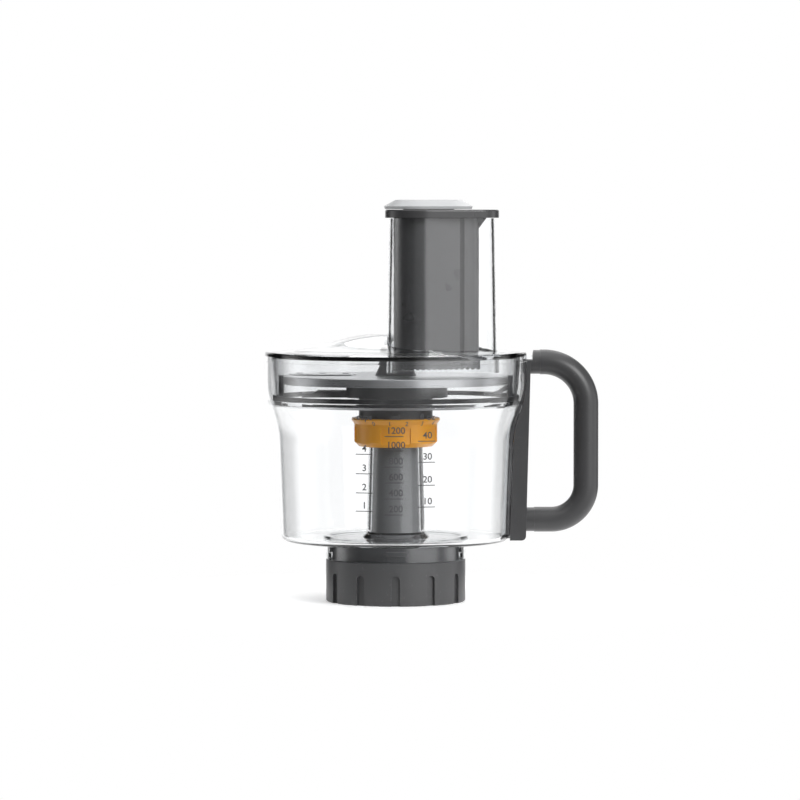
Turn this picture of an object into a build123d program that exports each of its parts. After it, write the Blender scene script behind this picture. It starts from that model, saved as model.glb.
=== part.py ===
from build123d import *

import os
from math import acos, cos, pi, radians, sin, tan

os.makedirs("parts", exist_ok=True)

# Food processor attachment for a stand mixer: a geared base that locks on the mixer's outlet, a clear
# bowl with a centre tower and a side handle, a clear lid with an egg-shaped feed tube and two pushers,
# and a slicing disc whose slice thickness is set by a ring under it. Millimetres, +Z up.
# The origin is on the bowl's axis, on the plane that the base stands on. The handle points to +X and
# the feed tube leans to the front, -Y.

# ---------------------------------------------------------------- driving dimensions
clearance = 0.15  # between pieces that are put together by hand
joint_gap = 0.3  # between faces that rest on each other but move apart
running_gap = 0.05  # radial, between a shaft and its bush
wall = 2.4  # clear mouldings

# base
collar_radius = 47.2
collar_height = 29.0
collar_groove_count = 12
collar_groove_width = 6.0
collar_groove_depth = 2.1
collar_groove_top = 20.4
neck_radius = 42.8
neck_height = 11.8
socket_radius = 43.4
socket_depth = 11.0
gearbox_radius = 39.0
base_top_thickness = 3.0
cover_thickness = 3.0
cover_screw_count = 4
cover_screw_circle = 41.2
cover_screw_radius = 1.1
cover_screw_start = 45.0  # degrees
cover_screw_bite = 7.0  # into the housing
cover_screw_head_radius = 1.9
cover_screw_head_height = 1.4
cover_screw_key = 0.9
cover_screw_gap = 0.02
edge_break = 0.8
outlet_slot_count = 3
outlet_slot_depth = 1.0
outlet_entry_place = 60.0  # degrees
outlet_entry_span = 12.0
outlet_entry_height = 7.0
outlet_run_span = 13.0
outlet_run_bottom = 4.0
outlet_run_height = 3.0

# gear train: sun in the middle, fixed ring outside, three planets on the carrier
gear_module = 1.5
sun_teeth = 16
planet_teeth = 14
ring_teeth = sun_teeth + 2 * planet_teeth
planet_count = 3
gear_width = 9.0
gear_backlash = 0.3
pressure_angle = radians(20)
planet_pin_radius = 2.5
planet_start = 90.0  # degrees
carrier_border = 7.0  # past the planets' orbit
input_shaft_radius = 6.0
output_shaft_radius = 8.0
bush_wall = 2.6
input_boss_wall = 2.5
input_boss_height = 2.5
output_boss_wall = 3.0
output_boss_gap = 1.5
output_shaft_rise = 12.0  # past the top of the neck
input_bottom = 1.0
input_bore_radius = 4.0  # round bore for the drive pin of a mixer
input_bore_depth = 9.0
coupling_radius = 15.0
coupling_height = 6.0
coupling_notches = 6
coupling_notch_radius = 3.4
drive_flats = 12.0  # across the flats
drive_sides = 6

# bowl
bowl_rim_radius = 88.6
bowl_waist_radius = bowl_rim_radius - 8.4
bowl_foot_radius = bowl_waist_radius - 2.6
bowl_height = 121.3
bowl_waist_height = bowl_height - 54.3  # above the underside
bowl_swell_height = bowl_height - 12.8  # where the wall is upright again
neck_top = collar_height + neck_height
bowl_bottom = neck_top + joint_gap
bowl_top = bowl_bottom + bowl_height
floor_thickness = 2.5
bowl_foot_fillet = 5.0
floor_ring_outer_radius = neck_radius + 6.2
floor_ring_inner_radius = neck_radius + 1.9
floor_ring_height = 1.4
ledge_height = bowl_height - 27.4  # underside of the ledge that the lid's seal rests on
ledge_thickness = 1.8
ledge_radius = bowl_rim_radius - 10.6
ledge_outer_radius = bowl_rim_radius - 3.6
ledge_slope_run = 1.6
ledge_slope_rise = 2.0
skirt_radius = 47.6
lug_count = 4
lug_span = 16.0  # degrees
lug_reach = 1.9
lug_height = 3.0
neck_lug_rise = 4.4  # above the collar
tower_foot_radius = 19.8
tower_top_radius = 17.7
tower_height = bowl_height - 31.8  # above the bowl's underside
tower_top_thickness = 3.0
tower_flare = 2.8
column_gap = 0.9
channel_depth = 4.0
channel_width = 13.0

# handle
strip_width = 21.0
strip_foot_reach = bowl_rim_radius - 0.7
strip_head_reach = bowl_rim_radius + 2.6
grip_reach = bowl_rim_radius + 40.1
grip_thickness = 16.8
grip_width = 21.0
grip_top_height = bowl_top - 0.6
grip_foot_height = bowl_bottom + 14.1
grip_top_bend = 28.5
grip_foot_bend = 23.5
stub_top_end = strip_head_reach + 6.3
stub_foot_end = strip_foot_reach + 5.9
stub_step = 0.35
peg_radius = 4.0
peg_length = 11.0
clip_bottom = bowl_bottom + 28.9
clip_top = clip_bottom + 13.0
clip_thickness = 1.3
screw_radius = 1.0
screw_head_radius = 1.9
screw_head_height = 1.6
screw_recess = 1.0
screw_slot = 0.8
bracket_screw_places = (  # height, and how far in the point reaches
    (bowl_bottom + 24.9, bowl_rim_radius - 13.4),
    (bowl_bottom + bowl_height - 58.4, bowl_rim_radius - 12.0),
)
bracket_screw_spread = 8.0

# lid
lid_flange_thickness = 5.6
lid_thickness = 2.2
lid_skirt_radius = bowl_rim_radius - 4.4
lid_skirt_foot_radius = bowl_rim_radius - 6.0
lid_skirt_inner_radius = bowl_rim_radius - 8.4
dome_height = 13.8  # above the flange's top
dome_crown_radius = 141.0
dome_crown_reach = 42.0
dome_foot_reach = bowl_rim_radius - 16.0
dome_foot_rise = 2.2
dome_foot_slope = 0.08
seal_height = 2.8
seal_inner_radius = bowl_rim_radius - 8.7
tab_reach = bowl_rim_radius + 3.8
tab_height = 3.0
tab_span = 9.0  # degrees
centre_pin_radius = 5.0
centre_pin_bottom = bowl_top - 1.4
seal_outer_radius = bowl_rim_radius - 5.6

# feed tube and pushers: each outline is the hull of a round left end and a smaller right end
tube_left = (16.0, -38.0)
tube_left_radius = 22.2
tube_right = (50.0, -30.0)
tube_right_radius = 18.2
tube_foot_gap = 3.0  # above the disc
tube_top_height = bowl_top + 96.5
tube_draft = 1.0  # degrees
pusher_right = (43.0, -32.0)
pusher_left_radius = 17.4
pusher_right_radius = 12.5
pusher_wall = 2.2
pusher_foot_gap = 2.4  # above the tube's foot
pusher_flange_thickness = 5.5
pusher_flange_overhang = 2.7
pusher_groove_width = 3.0
pusher_groove_place = 44.0
gusset_drop = 16.2
gusset_reach = 60.3
ridge_pitch = 3.6
ridge_depth = 1.0
small_left = (14.5, -38.0)
small_right = (31.0, -35.4)
small_left_radius = 9.5
small_right_radius = 8.0
small_wall = 1.8
cap_left = (12.2, -38.0)
cap_right = (36.0, -35.0)
cap_left_radius = 20.0
cap_right_radius = 15.4
cap_edge_height = 2.0
cap_rise = 4.2
cap_slope_run = 7.6
cap_plug_depth = 9.0
small_gap = 0.5
gusset_width = 9.0
gusset_waist = 55.6
gusset_waist_drop = 6.6
pusher_groove_reach = 24.0
pusher_middle = 27.0
ridge_count = 15

# disc, hub and thickness setting
disc_radius = 76.0
disc_thickness = 0.9
disc_rim_height = 5.6
disc_top_height = bowl_top - 9.4
hub_plate_radius = 35.0
hub_plate_height = 13.5
hub_neck_radius = 25.0
hub_bore_radius = 20.4
hub_spigot_radius = 12.0
hub_foot_height = disc_top_height - 39.6
arm_reach = disc_radius - 20.0
arm_foot_reach = disc_radius - 13.0
arm_slope_reach = disc_radius - 24.4
arm_width = 22.0
arm_foot_thickness = 2.6
arm_top = disc_top_height - 9.4
pointer_bottom = disc_top_height - 23.0
pointer_height = 2.2
pointer_reach = 26.8
pointer_place = 180.0  # degrees, where the pointer and the leg of the thickness plate are
pointer_span = 8.0
knob_foot_radius = 14.0
knob_neck_radius = 10.4
knob_cone_height = 8.0
knob_height = 14.0
insert_radius = 7.6
insert_height = 8.0
window_near = 30.0
window_far = disc_radius - 6.0
window_width = 22.0
plate_thickness = 2.0
plate_travel = 5.0
leg_thickness = 1.8
leg_width = 8.0
leg_radius = 22.7
leg_gap = 0.35
leg_foot = disc_top_height - 40.1
window_gap = 0.6
bridge_thickness = 2.4
bridge_reach = 40.0
adjuster_height = 19.5
adjuster_top_height = disc_top_height - 28.4
adjuster_radius = 28.1
adjuster_lip_radius = 30.0
adjuster_floor = 2.0
adjuster_turn = 115.0  # degrees, from 0 to the thickest slice
adjuster_panel_count = 6
adjuster_panel_span = 42.0
adjuster_panel_depth = 0.9
adjuster_panel_top = adjuster_top_height - 6.4
adjuster_round = 3.2
adjuster_lip = 2.0
cam_steps = 10
cam_gap = 0.9
blade_edge = 7.6  # of the blade, over the window
blade_edge_lift = 0.35
blade_bevel = 2.4
blade_back = 20.0
blade_end = 3.0
blade_thickness = 0.8
rivet_radius = 1.6
rivet_line = 15.6
rivet_inset = 4.0  # from the ends of the window
rivet_places = (
    (-window_near - rivet_inset, rivet_line),
    (-(window_near + window_far) / 2, rivet_line),
    (-window_far + rivet_inset, rivet_line),
)
ramp_middle = disc_radius - 7.0
ramp_middle_height = disc_top_height - 10.4
ramp_reach = disc_radius - 16.0
ramp_height = disc_top_height - 11.6
ramp_thickness = 1.5
ramp_width = 9.0
rim_lug_radius = disc_radius + 3.4
rim_lug_height = 14.0
rim_lug_span = 8.0  # degrees

# printed marks: thin raised ink. Each scale is its place across, its line's width and its numbers
mark_thickness = 0.12
mark_sink = 12.0
mark_line = 0.45
mark_size = 3.0
mark_rise = 4.2
mark_low = bowl_bottom + 18.9
mark_high = bowl_bottom + ledge_height - 11.0
cup_marks = ((66.0, 1), (78.1, 2), (90.8, 3), (103.7, 4))
millilitre_marks = (
    (63.7, 200), (74.3, 400), (84.9, 600), (95.4, 800), (106.0, 1000), (115.6, 1200),
)
ounce_marks = ((68.8, 10), (83.2, 20), (98.4, 30), (112.4, 40))
mark_columns = (
    (-20.7, 11.1, cup_marks), (-1.0, 12.4, millilitre_marks), (20.4, 11.2, ounce_marks),
)
ring_mark_count = 6
ring_mark_first = -31.0  # degrees from the front
ring_mark_step = 23.0
ring_mark_size = 1.5
ring_mark_height = adjuster_top_height - 4.0

# ---------------------------------------------------------------- heights that follow from them
floor_top = bowl_bottom + floor_thickness
bowl_waist = bowl_bottom + bowl_waist_height
bowl_swell = bowl_bottom + bowl_swell_height
ledge_bottom = bowl_bottom + ledge_height
ledge_top = ledge_bottom + ledge_thickness
tower_top = bowl_bottom + tower_height
lid_bottom = ledge_top + seal_height + 2 * joint_gap
flange_bottom = bowl_top + joint_gap
flange_top = flange_bottom + lid_flange_thickness
dome_top = flange_top + dome_height
cover_bottom = socket_depth
cover_top = cover_bottom + cover_thickness
gear_bottom = cover_top + 2.0
gear_top = gear_bottom + gear_width
carrier_bottom = gear_top + 1.0
carrier_top = carrier_bottom + 4.5
disc_underside = disc_top_height - disc_thickness
disc_rim_bottom = disc_top_height - disc_rim_height
hub_plate_bottom = disc_underside - hub_plate_height
tube_foot = disc_top_height + tube_foot_gap
pusher_foot = tube_foot + pusher_foot_gap
pusher_flange_bottom = tube_top_height + joint_gap
pusher_flange_top = pusher_flange_bottom + pusher_flange_thickness
adjuster_bottom = adjuster_top_height - adjuster_height
tab_bottom = flange_bottom + 1.2
knob_top = disc_top_height + knob_height


# ---------------------------------------------------------------- helpers
def save(piece, label):
    """Names a finished piece and writes it as its own STEP file."""
    piece.part.label = label
    export_step(piece.part, f"parts/{label}.step")


def annular_sector(inner_radius, outer_radius, middle, span):
    """Draws a part of a ring in the current sketch, with angles in degrees."""
    start = middle - span / 2
    with BuildLine() as outline:
        outer = CenterArc((0, 0), outer_radius, start, span)
        inner = CenterArc((0, 0), inner_radius, start, span)
        Line(outer @ 0, inner @ 0)
        Line(outer @ 1, inner @ 1)
    make_face(outline.edges())


def egg(left, left_radius, right, right_radius, grow=0.0, mode=Mode.ADD):
    """Draws the hull of two circles, which is the outline of the tube, the pushers and the cap."""
    with BuildLine() as circles:
        CenterArc(left, left_radius + grow, 0, 360)
        CenterArc(right, right_radius + grow, 0, 360)
    make_hull(circles.edges(), mode=mode)


def bowl_envelope(inset, mode=Mode.ADD):
    """Draws the half section inside the bowl's outer wall, moved inwards by inset."""
    foot = (bowl_foot_radius - inset, bowl_bottom)
    waist = (bowl_waist_radius - inset, bowl_waist)
    swell = (bowl_rim_radius - inset, bowl_swell)
    rim = (bowl_rim_radius - inset, bowl_top)
    with BuildLine() as outline:
        cone = Line(foot, waist)
        Spline(waist, swell, tangents=[cone % 1, (0, 1)])
        Line(swell, rim)
        Polyline(rim, (0, bowl_top), (0, bowl_bottom), foot)
    make_face(outline.edges(), mode=mode)


def wall_band(outer_inset, inner_inset, low, high):
    """Draws a band that follows the bowl's wall between two insets and two heights."""
    bowl_envelope(outer_inset)
    bowl_envelope(inner_inset, mode=Mode.SUBTRACT)
    with Locations((bowl_waist_radius, low)):
        Rectangle(
            bowl_rim_radius, high - low, align=(Align.CENTER, Align.MIN), mode=Mode.INTERSECT
        )


def dome_line(drop):
    """Draws the lid's dome from the axis to the flange, lowered by drop, in the current line."""
    crown_fall = dome_crown_radius - (dome_crown_radius**2 - dome_crown_reach**2) ** 0.5
    crown = TangentArc(
        (0, dome_top - drop), (dome_crown_reach, dome_top - crown_fall - drop), tangent=(1, 0)
    )
    shoulder = Spline(
        crown @ 1,
        (dome_foot_reach, flange_top + dome_foot_rise - drop),
        tangents=[crown % 1, (1, -dome_foot_slope)],
    )
    return crown, shoulder


def involute(angle):
    return tan(angle) - angle


def gear_points(teeth, tip_radius, root_radius, thinning, phase):
    """Corner points of a gear's outline: four to a flank, on its involute."""
    pitch_radius = gear_module * teeth / 2
    base_radius = pitch_radius * cos(pressure_angle)
    half_tooth = pi / (2 * teeth) - thinning / (2 * pitch_radius) + involute(pressure_angle)
    flank_start = max(root_radius, base_radius)
    radii = [root_radius] if root_radius < base_radius else []
    radii += [flank_start + (tip_radius - flank_start) * step / 3 for step in range(4)]
    flank = []
    for radius in radii:
        roll = acos(base_radius / radius) if radius > base_radius else 0.0
        flank.append((radius, half_tooth - involute(roll)))
    points = []
    for tooth in range(teeth):
        middle = phase + 2 * pi * tooth / teeth
        for radius, half in flank:
            points.append((radius * cos(middle - half), radius * sin(middle - half)))
        for radius, half in reversed(flank):
            points.append((radius * cos(middle + half), radius * sin(middle + half)))
    return points


def gear_face(points):
    with BuildLine() as outline:
        Polyline(*points, close=True)
    make_face(outline.edges())


# ---------------------------------------------------------------- base
bush_outer_input = input_shaft_radius + running_gap + bush_wall
bush_outer_output = output_shaft_radius + running_gap + bush_wall
output_boss_radius = bush_outer_output + output_boss_wall
output_boss_bottom = carrier_top + output_boss_gap

with BuildPart() as base_housing:
    Cylinder(collar_radius, collar_height, align=(Align.CENTER, Align.CENTER, Align.MIN))
    chamfer(base_housing.edges().group_by(Axis.Z)[0], edge_break)
    fillet(base_housing.edges().group_by(Axis.Z)[-1], edge_break)
    with Locations((0, 0, collar_height)):
        Cylinder(neck_radius, neck_height, align=(Align.CENTER, Align.CENTER, Align.MIN))
    with BuildSketch(Plane.XY.offset(neck_top - base_top_thickness)):
        Circle(gearbox_radius)
    extrude(amount=-(neck_top - base_top_thickness - cover_top), mode=Mode.SUBTRACT)
    with BuildSketch():
        Circle(socket_radius)
    extrude(amount=cover_top, mode=Mode.SUBTRACT)
    # boss for the output bush
    with BuildSketch(Plane.XY.offset(output_boss_bottom)):
        Circle(output_boss_radius)
    extrude(amount=neck_top - output_boss_bottom)
    with BuildSketch(Plane.XY.offset(output_boss_bottom)):
        Circle(bush_outer_output)
    extrude(amount=neck_top - output_boss_bottom, mode=Mode.SUBTRACT)
    # finger grooves round the collar, with round heads
    groove_plane = Plane.XZ.offset(collar_radius - collar_groove_depth)
    with BuildSketch(groove_plane) as groove:
        with Locations((0, (collar_groove_top - 2.0) / 2)):
            SlotCenterPoint((0, 0), (0, collar_groove_top / 2 - 2.0), collar_groove_width)
        with Locations((0, 0)):
            Rectangle(
                collar_groove_width, collar_groove_top - collar_groove_width / 2,
                align=(Align.CENTER, Align.MIN),
            )
    groove_cutter = extrude(
        groove.sketch, amount=2 * collar_groove_depth, mode=Mode.PRIVATE
    )
    with PolarLocations(0, collar_groove_count):
        add(groove_cutter, mode=Mode.SUBTRACT)
    # bayonet slots inside the socket, each an entry and a run to its left
    for slot in range(outlet_slot_count):
        entry = slot * 360 / outlet_slot_count + outlet_entry_place
        slot_reach = socket_radius + outlet_slot_depth
        with BuildSketch():
            annular_sector(socket_radius - 1, slot_reach, entry, outlet_entry_span)
        extrude(amount=outlet_entry_height, mode=Mode.SUBTRACT)
        with BuildSketch(Plane.XY.offset(outlet_run_bottom)):
            annular_sector(
                socket_radius - 1, slot_reach, entry + outlet_entry_span, outlet_run_span
            )
        extrude(amount=outlet_run_height, mode=Mode.SUBTRACT)
    # lugs on the neck, over the bowl's lugs when it is locked
    for lug in range(lug_count):
        with BuildSketch(Plane.XY.offset(collar_height + neck_lug_rise)):
            annular_sector(neck_radius - 1, neck_radius + lug_reach, lug * 360 / lug_count, lug_span)
        extrude(amount=lug_height)
    # blind holes for the cover's screws
    with BuildSketch(Plane.XY.offset(cover_top)):
        with PolarLocations(cover_screw_circle, cover_screw_count, cover_screw_start):
            Circle(cover_screw_radius + cover_screw_gap)
    extrude(amount=cover_screw_bite + 1, mode=Mode.SUBTRACT)
save(base_housing, "base_housing")

with BuildPart() as base_cover:
    with BuildSketch(Plane.XY.offset(cover_bottom)):
        Circle(socket_radius - clearance)
        Circle(bush_outer_input, mode=Mode.SUBTRACT)
        with PolarLocations(cover_screw_circle, cover_screw_count, cover_screw_start):
            Circle(cover_screw_radius + 0.2, mode=Mode.SUBTRACT)
    extrude(amount=cover_thickness)
    with BuildSketch(Plane.XY.offset(cover_bottom)):
        Circle(bush_outer_input + input_boss_wall)
        Circle(bush_outer_input, mode=Mode.SUBTRACT)
    extrude(amount=-input_boss_height)
save(base_cover, "gearbox_cover")

with BuildPart() as cover_screws:
    with BuildSketch(Plane.XY.offset(cover_bottom)):
        with PolarLocations(cover_screw_circle, cover_screw_count, cover_screw_start):
            Circle(cover_screw_radius)
    extrude(amount=cover_thickness + cover_screw_bite)
    with BuildSketch(Plane.XY.offset(cover_bottom)):
        with PolarLocations(cover_screw_circle, cover_screw_count, cover_screw_start):
            Circle(cover_screw_head_radius)
    extrude(amount=-cover_screw_head_height)
    with BuildSketch(Plane.XY.offset(cover_bottom - cover_screw_head_height)):
        with PolarLocations(cover_screw_circle, cover_screw_count, cover_screw_start):
            RegularPolygon(cover_screw_key, 6)
    extrude(amount=cover_screw_key, mode=Mode.SUBTRACT)
save(cover_screws, "cover_screws")

with BuildPart() as input_bush:
    with BuildSketch(Plane.XY.offset(cover_bottom - input_boss_height)):
        Circle(bush_outer_input)
        Circle(input_shaft_radius + running_gap, mode=Mode.SUBTRACT)
    extrude(amount=cover_thickness + input_boss_height)
save(input_bush, "input_bush")

with BuildPart() as output_bush:
    with BuildSketch(Plane.XY.offset(output_boss_bottom)):
        Circle(bush_outer_output)
        Circle(output_shaft_radius + running_gap, mode=Mode.SUBTRACT)
    extrude(amount=neck_top - output_boss_bottom)
save(output_bush, "output_bush")

# ---------------------------------------------------------------- gear train
sun_radius = gear_module * sun_teeth / 2
planet_radius = gear_module * planet_teeth / 2
ring_radius = gear_module * ring_teeth / 2
planet_orbit = sun_radius + planet_radius
planet_angles = [pi / 2 + 2 * pi * k / planet_count for k in range(planet_count)]


def planet_phase(angle):
    """The turn that puts a space of the planet at angle over the sun's tooth nearest to it."""
    pitch = 2 * pi / sun_teeth
    offset = round(angle / pitch) * pitch - angle
    return angle + pi - pi / planet_teeth - offset * sun_teeth / planet_teeth


ring_phase = planet_angles[0] + (planet_phase(planet_angles[0]) - planet_angles[0]) % (
    2 * pi / planet_teeth
) * planet_teeth / ring_teeth

with BuildPart() as ring_gear:
    with BuildSketch(Plane.XY.offset(gear_bottom)):
        Circle(gearbox_radius - running_gap)
    extrude(amount=gear_width)
    with BuildSketch(Plane.XY.offset(gear_bottom)):
        gear_face(
            gear_points(
                ring_teeth,
                ring_radius + 1.2 * gear_module,
                ring_radius - 0.8 * gear_module,
                -gear_backlash / 2,
                ring_phase,
            )
        )
    extrude(amount=gear_width, mode=Mode.SUBTRACT)
save(ring_gear, "ring_gear")

with BuildPart() as sun_gear:
    with BuildSketch(Plane.XY.offset(gear_bottom)):
        gear_face(
            gear_points(
                sun_teeth,
                sun_radius + 0.85 * gear_module,
                sun_radius - 1.2 * gear_module,
                gear_backlash / 2,
                0.0,
            )
        )
    extrude(amount=gear_width)
    with BuildSketch(Plane.XY.offset(gear_bottom)):
        Circle(input_shaft_radius)
    extrude(amount=-(gear_bottom - input_bottom))
    with BuildSketch(Plane.XY.offset(input_bottom)):
        Circle(input_bore_radius)
    extrude(amount=input_bore_depth, mode=Mode.SUBTRACT)
save(sun_gear, "sun_gear_shaft")

with BuildPart() as input_dog:
    with BuildSketch(Plane.XY.offset(input_bottom)):
        Circle(coupling_radius)
        Circle(input_shaft_radius, mode=Mode.SUBTRACT)
        with PolarLocations(coupling_radius, coupling_notches):
            Circle(coupling_notch_radius, mode=Mode.SUBTRACT)
    extrude(amount=coupling_height)
save(input_dog, "input_coupling")

for number, angle in enumerate(planet_angles, start=1):
    centre = (planet_orbit * cos(angle), planet_orbit * sin(angle), gear_bottom)
    with BuildPart() as planet_gear:
        with BuildSketch(Plane(origin=centre)):
            gear_face(
                gear_points(
                    planet_teeth,
                    planet_radius + 0.85 * gear_module,
                    planet_radius - 1.2 * gear_module,
                    gear_backlash / 2,
                    planet_phase(angle),
                )
            )
            Circle(planet_pin_radius + running_gap, mode=Mode.SUBTRACT)
        extrude(amount=gear_width)
    save(planet_gear, f"planet_gear_{number}")

shaft_top = neck_top + output_shaft_rise
with BuildPart() as planet_carrier:
    with BuildSketch(Plane.XY.offset(carrier_bottom)):
        Circle(planet_orbit + carrier_border)
        with PolarLocations(planet_orbit, planet_count, planet_start):
            Circle(planet_pin_radius, mode=Mode.SUBTRACT)
    extrude(amount=carrier_top - carrier_bottom)
    with BuildSketch(Plane.XY.offset(carrier_top)):
        Circle(output_shaft_radius)
    extrude(amount=neck_top - carrier_top)
    with BuildSketch(Plane.XY.offset(neck_top)):
        RegularPolygon(drive_flats / 2, drive_sides, major_radius=False)
    extrude(amount=shaft_top - neck_top)
    chamfer(planet_carrier.faces().sort_by(Axis.Z)[-1].edges(), 0.6)
save(planet_carrier, "planet_carrier")

with BuildPart() as planet_pins:
    with BuildSketch(Plane.XY.offset(gear_bottom - 0.6)):
        with PolarLocations(planet_orbit, planet_count, planet_start):
            Circle(planet_pin_radius)
    extrude(amount=carrier_top - gear_bottom + 0.6)
save(planet_pins, "planet_pins")

# ---------------------------------------------------------------- bowl
skirt_inner = skirt_radius - wall
tower_mouth = tower_foot_radius + 0.2
tower_flare_top = floor_top + 3.5
tower_step = floor_top + 2.0

with BuildPart() as bowl:
    with BuildSketch(Plane.XZ):
        bowl_envelope(0)
        fillet(vertices().group_by(Axis.Y)[0].sort_by(Axis.X)[-1], bowl_foot_fillet)
    revolve(axis=Axis.Z)
    with BuildSketch(Plane.XZ):
        bowl_envelope(wall)
        with Locations((0, floor_top)):
            Rectangle(
                2 * bowl_rim_radius, bowl_height,
                align=(Align.CENTER, Align.MIN), mode=Mode.INTERSECT,
            )
        fillet(
            vertices().group_by(Axis.Y)[0].sort_by(Axis.X)[-1], bowl_foot_fillet - wall
        )
    revolve(axis=Axis.Z, mode=Mode.SUBTRACT)
    # ledge for the lid's seal, sloped underneath
    with BuildSketch(Plane.XZ):
        with BuildLine():
            Polyline(
                (ledge_radius, ledge_top),
                (ledge_outer_radius, ledge_top),
                (ledge_outer_radius - ledge_slope_run, ledge_bottom - ledge_slope_rise),
                (ledge_radius, ledge_bottom),
                close=True,
            )
        make_face()
    revolve(axis=Axis.Z)
    # skirt that drops over the neck of the base
    with BuildSketch(Plane.XY.offset(collar_height + 0.3)):
        Circle(skirt_radius)
        Circle(skirt_inner, mode=Mode.SUBTRACT)
    extrude(amount=bowl_bottom - collar_height)
    for lug in range(lug_count):
        with BuildSketch(Plane.XY.offset(collar_height + 0.8)):
            annular_sector(neck_radius + 0.4, skirt_inner + 0.5, lug * 360 / lug_count, lug_span)
        extrude(amount=lug_height)
    with BuildSketch(Plane.XY.offset(floor_top - 0.5)):
        Circle(floor_ring_outer_radius)
        Circle(floor_ring_inner_radius, mode=Mode.SUBTRACT)
    extrude(amount=floor_ring_height + 0.5)
    # centre tower, open below
    with BuildSketch(Plane.XZ):
        with BuildLine():
            Polyline(
                (0, bowl_bottom),
                (tower_foot_radius + tower_flare, bowl_bottom),
                (tower_foot_radius + tower_flare, floor_top),
                (tower_foot_radius, tower_flare_top),
                (tower_top_radius, tower_top),
                (0, tower_top),
                close=True,
            )
        make_face()
    revolve(axis=Axis.Z)
    with BuildSketch(Plane.XZ):
        with BuildLine():
            Polyline(
                (0, bowl_bottom),
                (tower_mouth, bowl_bottom),
                (tower_mouth, tower_step),
                (tower_foot_radius - wall, tower_step + 1.5),
                (tower_top_radius - wall, tower_top - tower_top_thickness),
                (0, tower_top - tower_top_thickness),
                close=True,
            )
        make_face()
    revolve(axis=Axis.Z, mode=Mode.SUBTRACT)
    with BuildSketch(Plane.XY.offset(tower_top)):
        Circle(bush_outer_output)
    extrude(amount=-tower_top_thickness - 1, mode=Mode.SUBTRACT)
    # channel behind the handle: an inner boss and a recess from outside
    with BuildSketch(Plane.XZ):
        wall_band(wall / 2, channel_depth + wall, floor_top - 0.5, ledge_bottom + 0.5)
    extrude(amount=channel_width / 2 + 2 * wall, both=True)
    with BuildSketch(Plane.XZ):
        wall_band(-2, channel_depth, floor_top + 2.0, ledge_bottom - 8.0)
    extrude(amount=channel_width / 2, both=True, mode=Mode.SUBTRACT)
    for height, end in bracket_screw_places:
        with BuildSketch(Plane.YZ.offset(end)):
            with Locations((0, height)), GridLocations(2 * bracket_screw_spread, 1, 2, 1):
                Circle(screw_radius)
        extrude(amount=bowl_rim_radius - end, mode=Mode.SUBTRACT)
save(bowl, "bowl")

with BuildPart() as tower_bush:
    with BuildSketch(Plane.XY.offset(tower_top - tower_top_thickness)):
        Circle(bush_outer_output)
        Circle(output_shaft_radius + running_gap, mode=Mode.SUBTRACT)
    extrude(amount=tower_top_thickness + 1.0)
save(tower_bush, "tower_bush")

# ---------------------------------------------------------------- handle
strip_top = flange_top + 0.6
strip_bottom = bowl_bottom + 0.4
def strip_face(height):
    """Outer face of the handle's strip at a height."""
    share = (height - strip_bottom) / (strip_top - strip_bottom)
    return strip_foot_reach + (strip_head_reach - strip_foot_reach) * share


with BuildPart() as bracket_screws:
    for height, end in bracket_screw_places:
        head = strip_face(height) - screw_recess
        with BuildSketch(Plane.YZ.offset(end)):
            with Locations((0, height)), GridLocations(2 * bracket_screw_spread, 1, 2, 1):
                Circle(screw_radius)
        extrude(amount=head - end)
        with BuildSketch(Plane.YZ.offset(head)):
            with Locations((0, height)), GridLocations(2 * bracket_screw_spread, 1, 2, 1):
                Circle(screw_head_radius)
                Rectangle(screw_slot, 2 * screw_slot, mode=Mode.SUBTRACT)
        extrude(amount=-screw_head_height)
save(bracket_screws, "bracket_screws")

with BuildPart() as grip_screws:
    for height, end in ((grip_top_height, stub_top_end), (grip_foot_height, stub_foot_end)):
        with BuildSketch(Plane.XZ.offset(-grip_width / 2 + screw_recess)):
            with Locations((end + peg_length / 2, height)):
                Circle(screw_radius)
        extrude(amount=grip_width / 2 + 2.5 - screw_recess)
        with BuildSketch(Plane.XZ.offset(-grip_width / 2 + screw_recess)):
            with Locations((end + peg_length / 2, height)):
                Circle(screw_head_radius)
                Rectangle(screw_slot, 2 * screw_slot, mode=Mode.SUBTRACT)
        extrude(amount=screw_head_height)
save(grip_screws, "grip_screws")

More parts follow.
